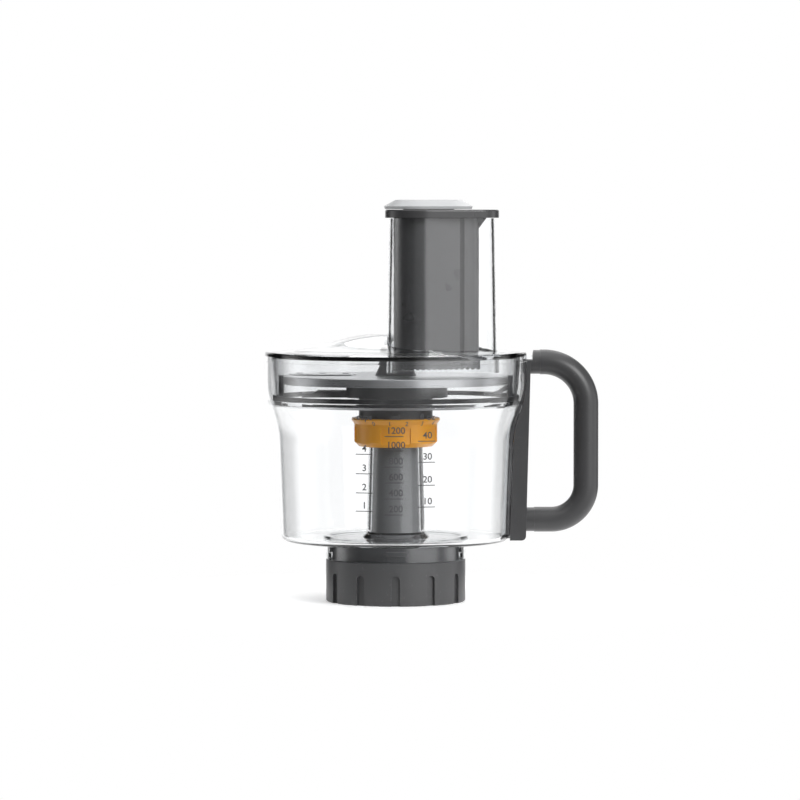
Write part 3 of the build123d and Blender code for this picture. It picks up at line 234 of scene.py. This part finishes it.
def colour(rgb, share=1.0):
    """A colour property as the four numbers that a socket takes."""
    return (rgb[0] * share, rgb[1] * share, rgb[2] * share, 1.0)


def satin_plastic(name, rgb, grain=1.0, rough=0.36, coat=0.0):
    """Moulded plastic with a fine spark-eroded grain, faint flow marks and rubbed edges."""
    s = Shader(name)
    cloud = s.noise(28.0, 3.0)
    fine = s.noise(1900.0, 3.0, 0.6)
    dust = s.noise(420.0, 5.0, 0.7).ramp(0.60, 0.78)
    edge = s.wear() * s.noise(260.0, 4.0).ramp(0.35, 0.7)
    scuff = s.scratches(900.0, 0.7, 0.70) + s.scratches(700.0, 2.1, 0.72)
    base = s.mix(cloud, colour(rgb, 0.90), colour(rgb, 1.10))
    base = s.mix((dust * 0.10).clipped(), base, colour((0.55, 0.54, 0.52)))
    base = s.mix((edge * 0.32).clipped(), base, colour([min(c * 2.4 + 0.05, 1) for c in rgb]))
    roughness = rough + cloud * 0.08 + dust * 0.10 - edge * 0.10 + scuff * 0.015
    normal = s.bump(fine, 0.00002 * grain, 0.35)
    normal = s.bump(s.noise(90.0, 2.0), 0.00005, 0.25, normal)
    return s.finish(s.principled(
        Base_Color=base, Roughness=roughness.clipped(), Normal=normal,
        Specular_IOR_Level=0.5, Coat_Weight=coat, Coat_Roughness=0.25, IOR=1.5,
    ))


def clear_plastic(name, rgb, density, haze):
    """Clear polished plastic: faint haze, wipe marks and hair scratches, grey in its depth."""
    s = Shader(name)
    smear = s.noise(16.0, 4.0, 0.6)
    hair = s.scratches(1300.0, 0.5, 0.74) + s.scratches(1100.0, 1.9, 0.75)
    dust = s.noise(900.0, 4.0, 0.7).ramp(0.66, 0.80)
    edge = s.wear(0.0006)
    roughness = haze + smear.ramp(0.45, 0.75) * 0.014 + hair * 0.012 + dust * 0.10 + edge * 0.03
    ripple = s.noise(34.0, 1.0)
    normal = s.bump(ripple, 0.0004, 0.10)
    normal = s.bump(hair, 0.00001, 0.3, normal)
    base = s.mix((dust * 0.12 + edge * 0.10).clipped(), colour(rgb), colour((0.80, 0.80, 0.79)))
    glass = s.principled(
        Base_Color=base, Roughness=roughness.clipped(), Normal=normal,
        Transmission_Weight=1.0, IOR=1.5, Specular_IOR_Level=0.5,
    )
    see_through = s.node("ShaderNodeBsdfTransparent", None, {"Color": (0.93, 0.935, 0.94, 1.0)})
    shadow = s.node("ShaderNodeLightPath")["Is Shadow Ray"]
    mixed = s.node("ShaderNodeMixShader", None, {0: shadow, 1: glass, 2: see_through["BSDF"]})
    volume = s.node(
        "ShaderNodeVolumeAbsorption", None,
        {"Color": (0.60, 0.63, 0.66, 1.0), "Density": density},
    )["Volume"]
    return s.finish(mixed["Shader"], volume)


def frosted_plastic(name, rgb):
    """Pale translucent moulding that lets light a little way in."""
    s = Shader(name)
    cloud = s.noise(40.0, 3.0)
    grain = s.noise(1500.0, 3.0, 0.6)
    edge = s.wear()
    base = s.mix(cloud, colour(rgb, 0.94), colour(rgb, 1.05))
    base = s.mix((edge * 0.4).clipped(), base, colour((0.88, 0.88, 0.88)))
    roughness = 0.26 + cloud * 0.10 + s.scratches(900.0, 1.1, 0.72) * 0.10
    return s.finish(s.principled(
        Base_Color=base, Roughness=roughness.clipped(), Normal=s.bump(grain, 0.00002, 0.3),
        Subsurface_Weight=0.35, Subsurface_Scale=0.006, Subsurface_Radius=(1.0, 1.0, 1.0),
        Specular_IOR_Level=0.5, IOR=1.49, Transmission_Weight=0.12,
    ))


def brushed_disc(name, rgb):
    """Rolled steel with fine rings from its spinning polish, and light knife scratches."""
    s = Shader(name)
    x, y, z = s.parts(s.place())
    radius = s.maths("SQRT", x * x + y * y)
    ring_place = s.node("ShaderNodeCombineXYZ", None, {"X": radius * 5200.0, "Z": z * 900.0})
    rings = s.noise(1.0, 3.0, 0.6, ring_place["Vector"])
    blotch = s.noise(22.0, 4.0)
    hair = s.scratches(1200.0, 0.4, 0.72)
    base = s.mix(blotch, colour(rgb, 0.90), colour(rgb, 1.06))
    base = s.mix((rings * 0.25).clipped(), base, colour(rgb, 0.72))
    roughness = 0.20 + rings * 0.12 + blotch * 0.06 + hair * 0.10
    return s.finish(s.principled(
        Base_Color=base, Roughness=roughness.clipped(), Metallic=1.0,
        Normal=s.bump(rings + hair * 0.3, 0.00001, 0.5), Anisotropic=0.5,
    ))


def ground_steel(name, rgb, rough=0.2):
    """Machined or ground steel with tool marks and worn edges."""
    s = Shader(name)
    lines = s.noise(1.0, 3.0, 0.6, s.stretched((3000.0, 120.0, 1400.0)))
    blotch = s.noise(60.0, 4.0)
    edge = s.wear(0.0005)
    base = s.mix(blotch, colour(rgb, 0.85), colour(rgb, 1.05))
    base = s.mix((edge * 0.6).clipped(), base, colour((0.86, 0.86, 0.87)))
    roughness = rough + lines * 0.14 + blotch * 0.06 - edge * 0.05
    return s.finish(s.principled(
        Base_Color=base, Roughness=roughness.clipped(), Metallic=1.0,
        Normal=s.bump(lines, 0.00001, 0.4),
    ))


def bearing_bronze(name, rgb):
    """Sintered bronze: open grain, oil-dark pores."""
    s = Shader(name)
    pores = s.cells(2600.0).ramp(0.05, 0.30)
    blotch = s.noise(120.0, 4.0)
    base = s.mix(pores, colour(rgb, 0.35), colour(rgb, 1.0))
    base = s.mix((blotch * 0.4).clipped(), base, colour(rgb, 0.7))
    return s.finish(s.principled(
        Base_Color=base, Roughness=(0.30 + blotch * 0.18).clipped(), Metallic=1.0,
        Normal=s.bump(pores, 0.00002, 0.5),
    ))


def seal_rubber(name, rgb):
    """Matt moulded rubber with talc left in its grain."""
    s = Shader(name)
    grain = s.noise(1400.0, 4.0, 0.65)
    talc = s.noise(70.0, 5.0, 0.65).ramp(0.55, 0.80)
    base = s.mix((talc * 0.14).clipped(), colour(rgb), colour((0.30, 0.30, 0.30)))
    roughness = 0.48 + grain * 0.16 + talc * 0.12
    return s.finish(s.principled(
        Base_Color=base, Roughness=roughness.clipped(), Normal=s.bump(grain, 0.00003, 0.5),
        Specular_IOR_Level=0.4,
    ))


def printed_ink(name, rgb):
    """Screen-printed ink, thin in places and worn by washing."""
    s = Shader(name)
    worn = s.noise(700.0, 5.0, 0.7).ramp(0.68, 0.80)
    cloud = s.noise(90.0, 3.0)
    base = s.mix(cloud, colour(rgb, 0.85), colour(rgb, 1.2))
    surface = s.principled(
        Base_Color=base, Roughness=(0.42 + cloud * 0.15).clipped(),
        Normal=s.bump(cloud, 0.00001, 0.3), Alpha=(1.0 - worn * 0.35).clipped(),
    )
    return s.finish(surface)


def studio_floor(name, rgb, near, far):
    """Matt pale paper that fades into the pale room between two distances."""
    s = Shader(name)
    tone = s.noise(3.0, 3.0)
    fibre = s.noise(500.0, 4.0, 0.7)
    base = s.mix(tone, colour(rgb, 0.985), colour(rgb, 1.0))
    paper = s.principled(
        Base_Color=base, Roughness=(0.62 + fibre * 0.12).clipped(),
        Normal=s.bump(fibre, 0.00004, 0.2), Specular_IOR_Level=0.25,
        Emission_Color=base, Emission_Strength=0.45,
    )
    x, y, _ = s.parts(s.place())
    away = s.maths("SQRT", x * x + y * y).ramp(near, far)
    open_air = s.node("ShaderNodeBsdfTransparent")["BSDF"]
    mixed = s.node("ShaderNodeMixShader", None, {0: away, 1: paper, 2: open_air})
    return s.finish(mixed["Shader"])


def studio_room(name, stage):
    """Pale room: bright behind, dim in front with a glow to the right, dark at the rear quarters."""
    s = Shader(name, "worlds")
    x, y, z = s.parts(s.node("ShaderNodeTexCoord")["Generated"])
    side = s.maths("ABSOLUTE", x)
    glow = x.ramp(0.22, 0.50) * (1.0 - y.ramp(-0.40, -0.15)) * z.ramp(-0.35, -0.05)
    light = (stage.front + glow * stage.glow).towards(stage.back, y.ramp(-0.15, 0.25))
    flank = side.ramp(0.36, 0.54) * (1.0 - side.ramp(0.84, 0.96)) * y.ramp(-0.40, -0.15)
    left = (1.0 - x.ramp(-0.50, -0.15)) * (1.0 - y.ramp(-0.40, -0.15)) * 0.7
    dark = (flank + left + z.ramp(0.22, 0.42) * y.ramp(-0.2, 0.2)).clipped()
    light = light.towards(stage.wall, dark)
    light = light.towards(stage.back, (1.0 - z.ramp(-0.30, -0.14)) * y.ramp(-0.50, -0.10))
    light = light.towards(stage.ceiling, z.ramp(0.60, 0.85)) * stage.surround
    seen = s.node("ShaderNodeLightPath")["Is Camera Ray"]
    strength = light.towards(1.0, seen)
    white = (1.0, 1.0, 1.0, 1.0)
    room = s.node("ShaderNodeBackground", None, {"Color": white, "Strength": strength})
    output = s.node("ShaderNodeOutputWorld").made
    s.tree.links.new(room["Background"].socket, output.inputs["Surface"])
    return s.owner


# ------------------------------------------------------------------ mesh helpers
def mesh_object(name, vertices, faces, material, smooth=True):
    mesh = bpy.data.meshes.new(name)
    mesh.from_pydata(vertices, [], faces)
    mesh.validate()
    mesh.shade_smooth() if smooth else mesh.shade_flat()
    mesh.materials.append(material)
    made = bpy.data.objects.new(name, mesh)
    bpy.context.scene.collection.objects.link(made)
    return made


def finish_nodes(names, material):
    """Gives CAD pieces a material. A missing piece stops the script."""
    for name in names:
        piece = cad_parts[name]
        piece.data.materials.clear()
        piece.data.materials.append(material)


def node_surface(name):
    """A ray-testable copy of a CAD piece's surface in the row frame."""
    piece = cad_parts[name]
    mesh = bmesh.new()
    mesh.from_mesh(piece.data)
    mesh.transform(piece.matrix_world)
    tree = BVHTree.FromBMesh(mesh)
    mesh.free()
    return tree


def text_outline(words, size):
    """Vertices and faces of a line of text, flat and centred."""
    curve = bpy.data.curves.new("words", "FONT")
    curve.body = words
    curve.size = size
    curve.offset = size * 0.012
    curve.align_x = "CENTER"
    curve.align_y = "CENTER"
    carrier = bpy.data.objects.new("words", curve)
    bpy.context.scene.collection.objects.link(carrier)
    view = bpy.context.evaluated_depsgraph_get()
    mesh = bpy.data.meshes.new_from_object(carrier.evaluated_get(view))
    vertices = [tuple(v.co) for v in mesh.vertices]
    faces = [tuple(p.vertices) for p in mesh.polygons]
    bpy.data.objects.remove(carrier)
    bpy.data.curves.remove(curve)
    bpy.data.meshes.remove(mesh)
    return vertices, faces


def bar_outline(width, height, steps=10):
    """Vertices and faces of a flat bar, cut across so that it can bend."""
    vertices, faces = [], []
    for step in range(steps + 1):
        x = (step / steps - 0.5) * width
        vertices += [(x, -height / 2, 0.0), (x, height / 2, 0.0)]
    for step in range(steps):
        a = 2 * step
        faces.append((a, a + 2, a + 3, a + 1))
    return vertices, faces


def printed(marks, surface, lift, turn_of=None):
    """Lays flat marks on a surface. Each mark is (vertices, faces, across, up, turn)."""
    vertices, faces = [], []
    for outline, cells, across, up, turn in marks:
        start = len(vertices)
        for x, y, _ in outline:
            side, height = x + across, y + up
            direction = Vector((math.sin(turn), -math.cos(turn), 0.0))
            right = Vector((math.cos(turn), math.sin(turn), 0.0))
            origin = right * side + direction * 0.3 + Vector((0.0, 0.0, height))
            hit, normal, _, _ = surface.ray_cast(origin, -direction)
            if hit is None:
                raise RuntimeError("a printed mark misses its surface")
            vertices.append(tuple(hit + direction * lift))
        faces += [tuple(start + i for i in cell) for cell in cells]
    return vertices, faces


# ------------------------------------------------------------------ settings
class PROCESSOR_PG_plastics(bpy.types.PropertyGroup):
    """Colours of the mouldings."""

    dark: bpy.props.FloatVectorProperty(
        name="Dark plastic", description="Base, handle and hub",
        default=(0.058, 0.058, 0.060), subtype="COLOR", min=0.0, max=1.0,
    )
    # Painted light: the drive column's colour is the dark plastic made lighter, standing in for the
    # light the column catches inside the tower.
    column: bpy.props.FloatVectorProperty(
        name="Drive column", description="Column inside the bowl's clear tower",
        default=(0.150, 0.150, 0.153), subtype="COLOR", min=0.0, max=1.0,
    )
    pusher: bpy.props.FloatVectorProperty(
        name="Pusher", description="Large and small pusher",
        default=(0.052, 0.052, 0.054), subtype="COLOR", min=0.0, max=1.0,
    )
    ring: bpy.props.FloatVectorProperty(
        name="Thickness ring", description="Ring that sets the slice thickness",
        default=(0.88, 0.36, 0.002), subtype="COLOR", min=0.0, max=1.0,
    )
    cap: bpy.props.FloatVectorProperty(
        name="Pusher cap", description="Pale cap of the small pusher",
        default=(0.62, 0.63, 0.64), subtype="COLOR", min=0.0, max=1.0,
    )
    clear: bpy.props.FloatVectorProperty(
        name="Clear plastic", description="Tint of the bowl and the lid at their surface",
        default=(0.985, 0.988, 0.99), subtype="COLOR", min=0.0, max=1.0,
    )
    depth: bpy.props.FloatProperty(
        name="Depth of the clear plastic", description="How fast the clear plastic turns grey",
        default=26.0, min=0.0, max=500.0,
    )
    haze: bpy.props.FloatProperty(
        name="Haze", description="Roughness of the clear plastic", default=0.012, min=0.0, max=1.0,
    )


class PROCESSOR_PG_metals(bpy.types.PropertyGroup):
    """Colours of the metals, the nylon gears and the seal."""

    disc: bpy.props.FloatVectorProperty(
        name="Disc", description="Slicing disc", default=(0.60, 0.60, 0.61),
        subtype="COLOR", min=0.0, max=1.0,
    )
    blade: bpy.props.FloatVectorProperty(
        name="Blade", description="Slicing blade and its rivets", default=(0.70, 0.70, 0.71),
        subtype="COLOR", min=0.0, max=1.0,
    )
    turned: bpy.props.FloatVectorProperty(
        name="Turned steel", description="Shafts, carrier and screws",
        default=(0.52, 0.52, 0.53), subtype="COLOR", min=0.0, max=1.0,
    )
    nylon: bpy.props.FloatVectorProperty(
        name="Nylon", description="Planet gears and ring gear", default=(0.66, 0.63, 0.55),
        subtype="COLOR", min=0.0, max=1.0,
    )
    bronze: bpy.props.FloatVectorProperty(
        name="Bronze", description="Bushes", default=(0.52, 0.33, 0.14),
        subtype="COLOR", min=0.0, max=1.0,
    )
    rubber: bpy.props.FloatVectorProperty(
        name="Seal", description="Seal under the lid", default=(0.012, 0.012, 0.013),
        subtype="COLOR", min=0.0, max=1.0,
    )


class PROCESSOR_PG_marks(bpy.types.PropertyGroup):
    """Sizes and colour of the printed marks."""

    ink: bpy.props.FloatVectorProperty(
        name="Ink", description="Colour of the printed marks", default=(0.085, 0.085, 0.088),
        subtype="COLOR", min=0.0, max=1.0,
    )
    digit: bpy.props.FloatProperty(
        name="Digit size", description="Height of the scale's digits", default=0.0062,
        unit="LENGTH", min=0.001, max=0.02,
    )
    line: bpy.props.FloatProperty(
        name="Line width", description="Thickness of the scale's lines", default=0.00055,
        unit="LENGTH", min=0.0001, max=0.002,
    )
    ring_digit: bpy.props.FloatProperty(
        name="Ring digit size", description="Height of the numbers on the thickness ring",
        default=0.0042, unit="LENGTH", min=0.001, max=0.01,
    )


class PROCESSOR_PG_stage(bpy.types.PropertyGroup):
    """Floor, camera and lights."""

    floor: bpy.props.FloatVectorProperty(
        name="Floor", description="Colour of the floor", default=(0.93, 0.93, 0.93),
        subtype="COLOR", min=0.0, max=1.0,
    )
    distance: bpy.props.FloatProperty(
        name="Camera distance", description="From the bowl's axis", default=2.853,
        unit="LENGTH", min=0.5, max=10.0,
    )
    height: bpy.props.FloatProperty(
        name="Camera height", description="Above the floor", default=0.2656,
        unit="LENGTH", min=0.0, max=3.0,
    )
    lens: bpy.props.FloatProperty(
        name="Lens", description="Focal length in millimetres", default=190.0, min=10.0, max=400.0,
    )
    key: bpy.props.FloatProperty(
        name="Key light", description="Power of the large light", default=30.0,
        min=0.0, max=500.0, subtype="POWER",
    )
    surround: bpy.props.FloatProperty(
        name="Surround", description="Brightness of the pale room", default=1.0,
        min=0.0, max=10.0,
    )
    back: bpy.props.FloatProperty(
        name="Back", description="Brightness behind and below the object", default=1.22,
        min=0.0, max=5.0,
    )
    front: bpy.props.FloatProperty(
        name="Front", description="Brightness in front of the object", default=0.26,
        min=0.0, max=5.0,
    )
    glow: bpy.props.FloatProperty(
        name="Glow", description="Extra brightness in front to the right", default=1.1,
        min=0.0, max=5.0,
    )
    wall: bpy.props.FloatProperty(
        name="Side walls", description="Brightness of the dark side walls", default=0.03,
        min=0.0, max=1.0,
    )
    ceiling: bpy.props.FloatProperty(
        name="Ceiling", description="Brightness overhead", default=0.9, min=0.0, max=5.0,
    )
    floor_near: bpy.props.FloatProperty(
        name="Floor fade start", description="Where the floor starts to fade out",
        default=0.09, unit="LENGTH", min=0.0, max=5.0,
    )
    floor_far: bpy.props.FloatProperty(
        name="Floor fade end", description="Where the floor has faded out", default=0.24,
        unit="LENGTH", min=0.1, max=6.0,
    )


# ------------------------------------------------------------------ pieces
class PROCESSOR_OT_dark_plastic(bpy.types.Operator):
    """Base, handle, hub and rim guides in grained dark plastic; the column in a lighter copy of it,
    which is painted light
    """

    bl_idname = "processor.dark_plastic"
    bl_label = "Dark mouldings"

    def execute(self, context):
        rgb = context.scene.processor_plastics.dark
        finish_nodes(DARK_PIECES, satin_plastic("dark_plastic_outer", rgb, 1.0, 0.34))
        finish_nodes(ROTOR_PLASTIC, satin_plastic("dark_plastic_rotor", rgb, 0.8, 0.30))
        # The column gets a lighter copy of the dark plastic: painted light, not a colour of its own.
        column = context.scene.processor_plastics.column
        finish_nodes(("drive_column",), satin_plastic("dark_plastic_column_painted_light", column, 0.8, 0.30))
        return {"FINISHED"}


class PROCESSOR_OT_pushers(bpy.types.Operator):
    """Both pushers, and the pale cap of the small one"""

    bl_idname = "processor.pushers"
    bl_label = "Pushers"

    def execute(self, context):
        plastics = context.scene.processor_plastics
        finish_nodes(PUSHER_PIECES, satin_plastic("pusher_plastic", plastics.pusher, 0.7, 0.24, 0.2))
        finish_nodes(("pusher_cap",), frosted_plastic("pale_plastic", plastics.cap))
        return {"FINISHED"}


class PROCESSOR_OT_thickness_ring(bpy.types.Operator):
    """Ring that sets the slice thickness"""

    bl_idname = "processor.thickness_ring"
    bl_label = "Thickness ring"

    def execute(self, context):
        rgb = context.scene.processor_plastics.ring
        finish_nodes(("thickness_ring",), satin_plastic("ring_plastic", rgb, 0.6, 0.30, 0.15))
        return {"FINISHED"}


class PROCESSOR_OT_clear_plastic(bpy.types.Operator):
    """Bowl and lid in clear plastic"""

    bl_idname = "processor.clear_plastic"
    bl_label = "Bowl and lid"

    def execute(self, context):
        plastics = context.scene.processor_plastics
        for name in ("bowl", "lid"):
            material = clear_plastic(
                f"clear_plastic_{name}", plastics.clear, plastics.depth, plastics.haze
            )
            finish_nodes((name,), material)
        return {"FINISHED"}


class PROCESSOR_OT_metals(bpy.types.Operator):
    """Disc, blade, shafts, screws, gears, bushes and the seal"""

    bl_idname = "processor.metals"
    bl_label = "Metals, gears and seal"

    def execute(self, context):
        metals = context.scene.processor_metals
        finish_nodes(DISC_PIECES, brushed_disc("disc_steel", metals.disc))
        finish_nodes(BLADE_PIECES, ground_steel("blade_steel", metals.blade, 0.14))
        finish_nodes(TURNED_PIECES, ground_steel("turned_steel", metals.turned, 0.22))
        finish_nodes(NYLON_PIECES, satin_plastic("gear_nylon", metals.nylon, 0.6, 0.40))
        finish_nodes(BRONZE_PIECES, bearing_bronze("bearing_bronze", metals.bronze))
        finish_nodes(("lid_seal",), seal_rubber("seal_rubber", metals.rubber))
        return {"FINISHED"}


CUPS = ((66.0, "1"), (78.1, "2"), (90.8, "3"), (103.7, "4"))
MILLILITRES = (
    (63.7, "200"), (74.3, "400"), (84.9, "600"), (95.4, "800"), (106.0, "1000"), (115.6, "1200"),
)
OUNCES = ((68.8, "10"), (83.2, "20"), (98.4, "30"), (112.4, "40"))
COLUMNS = (
    (-20.7, 11.1, -20.6, "cups", CUPS),
    (-1.0, 12.4, 0.2, "ml", MILLILITRES),
    (20.4, 11.2, 21.0, "fl oz", OUNCES),
)
HEADER_HEIGHT = 128.4
LABEL_RISE = 3.7
RING_NUMBERS = 6
RING_FIRST = -31.0
RING_STEP = 23.0
RING_NUMBER_HEIGHT = 121.3


class PROCESSOR_OT_marks(bpy.types.Operator):
    """Measuring scale on the bowl and numbers on the thickness ring"""

    bl_idname = "processor.marks"
    bl_label = "Printed marks"

    def execute(self, context):
        marks = context.scene.processor_marks
        ink = printed_ink("printed_ink", marks.ink)
        scale = []
        for across, width, label_across, header, rows in COLUMNS:
            words = text_outline(header, marks.digit * 0.92)
            scale.append((*words, label_across * MM, HEADER_HEIGHT * MM, 0.0))
            for height, label in rows:
                bar = bar_outline(width * MM, marks.line)
                scale.append((*bar, across * MM, height * MM, 0.0))
                digits = text_outline(label, marks.digit)
                place = (height + LABEL_RISE) * MM
                scale.append((*digits, label_across * MM, place, 0.0))
        made = mesh_object(
            "bowl_scale", *printed(scale, node_surface("bowl"), 0.00006), ink, False
        )
        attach(made, "bowl")
        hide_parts("measuring_marks")
        numbers = []
        for number in range(RING_NUMBERS):
            turn = math.radians(RING_FIRST + number * RING_STEP)
            outline = text_outline(str(number), marks.ring_digit)
            numbers.append((*outline, 0.0, RING_NUMBER_HEIGHT * MM, turn))
        made = mesh_object(
            "ring_numbers", *printed(numbers, node_surface("thickness_ring"), 0.00006), ink, False
        )
        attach(made, "thickness")
        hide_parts("ring_marks")
        return {"FINISHED"}


FLOOR_REACH = 6.0
SENSOR_WIDTH = 36.0
VIEW_LIMIT = 50.0
CAMERA_AIM = Vector((0.0029, 0.0, 0.136))
# name, place, target, size and share of the key light's power
LIGHTS = (
    ("key", (1.5, -1.5, 1.3), (0.0, 0.0, 0.12), 1.1, 1.0),
    ("rear", (0.2, 1.8, 1.6), (0.0, 0.0, 0.15), 1.4, 0.35),
    ("top", (0.0, 0.0, 2.2), (0.0, 0.0, 0.0), 1.6, 0.25),
)


class PROCESSOR_OT_stage(bpy.types.Operator):
    """Pale floor, soft lights and the camera"""

    bl_idname = "processor.stage"
    bl_label = "Stage"

    def execute(self, context):
        stage = context.scene.processor_stage
        side = FLOOR_REACH
        corners = [(-side, -side, 0), (side, -side, 0), (side, side, 0), (-side, side, 0)]
        paper = studio_floor("floor_paper", stage.floor, stage.floor_near, stage.floor_far)
        mesh_object("floor", corners, [(0, 1, 2, 3)], paper, False)
        for name, place, target, size, share in LIGHTS:
            self.light(name, place, target, size, stage.key * share)
        context.scene.world = studio_room("pale_room", stage)
        camera = bpy.data.cameras.new("camera")
        camera.lens = stage.lens
        camera.sensor_width = SENSOR_WIDTH
        camera.clip_end = VIEW_LIMIT
        carrier = bpy.data.objects.new("camera", camera)
        carrier.location = (CAMERA_AIM.x, -stage.distance, stage.height)
        aim = CAMERA_AIM - carrier.location
        carrier.rotation_euler = aim.to_track_quat("-Z", "Y").to_euler()
        context.scene.collection.objects.link(carrier)
        context.scene.camera = carrier
        context.scene.view_settings.view_transform = "Standard"
        return {"FINISHED"}

    def light(self, name, place, target, size, power):
        lamp = bpy.data.lights.new(name, "AREA")
        lamp.shape = "SQUARE"
        lamp.size = size
        lamp.energy = power
        carrier = bpy.data.objects.new(name, lamp)
        carrier.location = place
        aim = Vector(target) - Vector(place)
        carrier.rotation_euler = aim.to_track_quat("-Z", "Y").to_euler()
        carrier.visible_camera = False
        bpy.context.scene.collection.objects.link(carrier)


# ------------------------------------------------------------------ panel and registration
STEPS = (
    PROCESSOR_OT_dark_plastic, PROCESSOR_OT_pushers, PROCESSOR_OT_thickness_ring,
    PROCESSOR_OT_clear_plastic, PROCESSOR_OT_metals, PROCESSOR_OT_marks, PROCESSOR_OT_stage,
)
GROUPS = {
    "processor_plastics": PROCESSOR_PG_plastics,
    "processor_metals": PROCESSOR_PG_metals,
    "processor_marks": PROCESSOR_PG_marks,
    "processor_stage": PROCESSOR_PG_stage,
}


class PROCESSOR_PT_panel(bpy.types.Panel):
    """Lists the settings and the steps"""

    bl_idname = "PROCESSOR_PT_panel"
    bl_label = "Food Processor"
    bl_space_type = "VIEW_3D"
    bl_region_type = "UI"
    bl_category = "Food Processor"

    def draw(self, context):
        for attribute, group in GROUPS.items():
            box = self.layout.box()
            for name in group.__annotations__:
                box.prop(getattr(context.scene, attribute), name)
        for step in STEPS:
            self.layout.operator(step.bl_idname)


def register():
    for kind in (*GROUPS.values(), *STEPS, PROCESSOR_PT_panel):
        bpy.utils.register_class(kind)
    for attribute, group in GROUPS.items():
        setattr(bpy.types.Scene, attribute, bpy.props.PointerProperty(type=group))


def unregister():
    for attribute in GROUPS:
        delattr(bpy.types.Scene, attribute)
    for kind in reversed((*GROUPS.values(), *STEPS, PROCESSOR_PT_panel)):
        bpy.utils.unregister_class(kind)


def main():
    register()
    for step in STEPS:
        group, action = step.bl_idname.split(".")
        getattr(getattr(bpy.ops, group), action)()


if __name__ == "__main__":
    main()
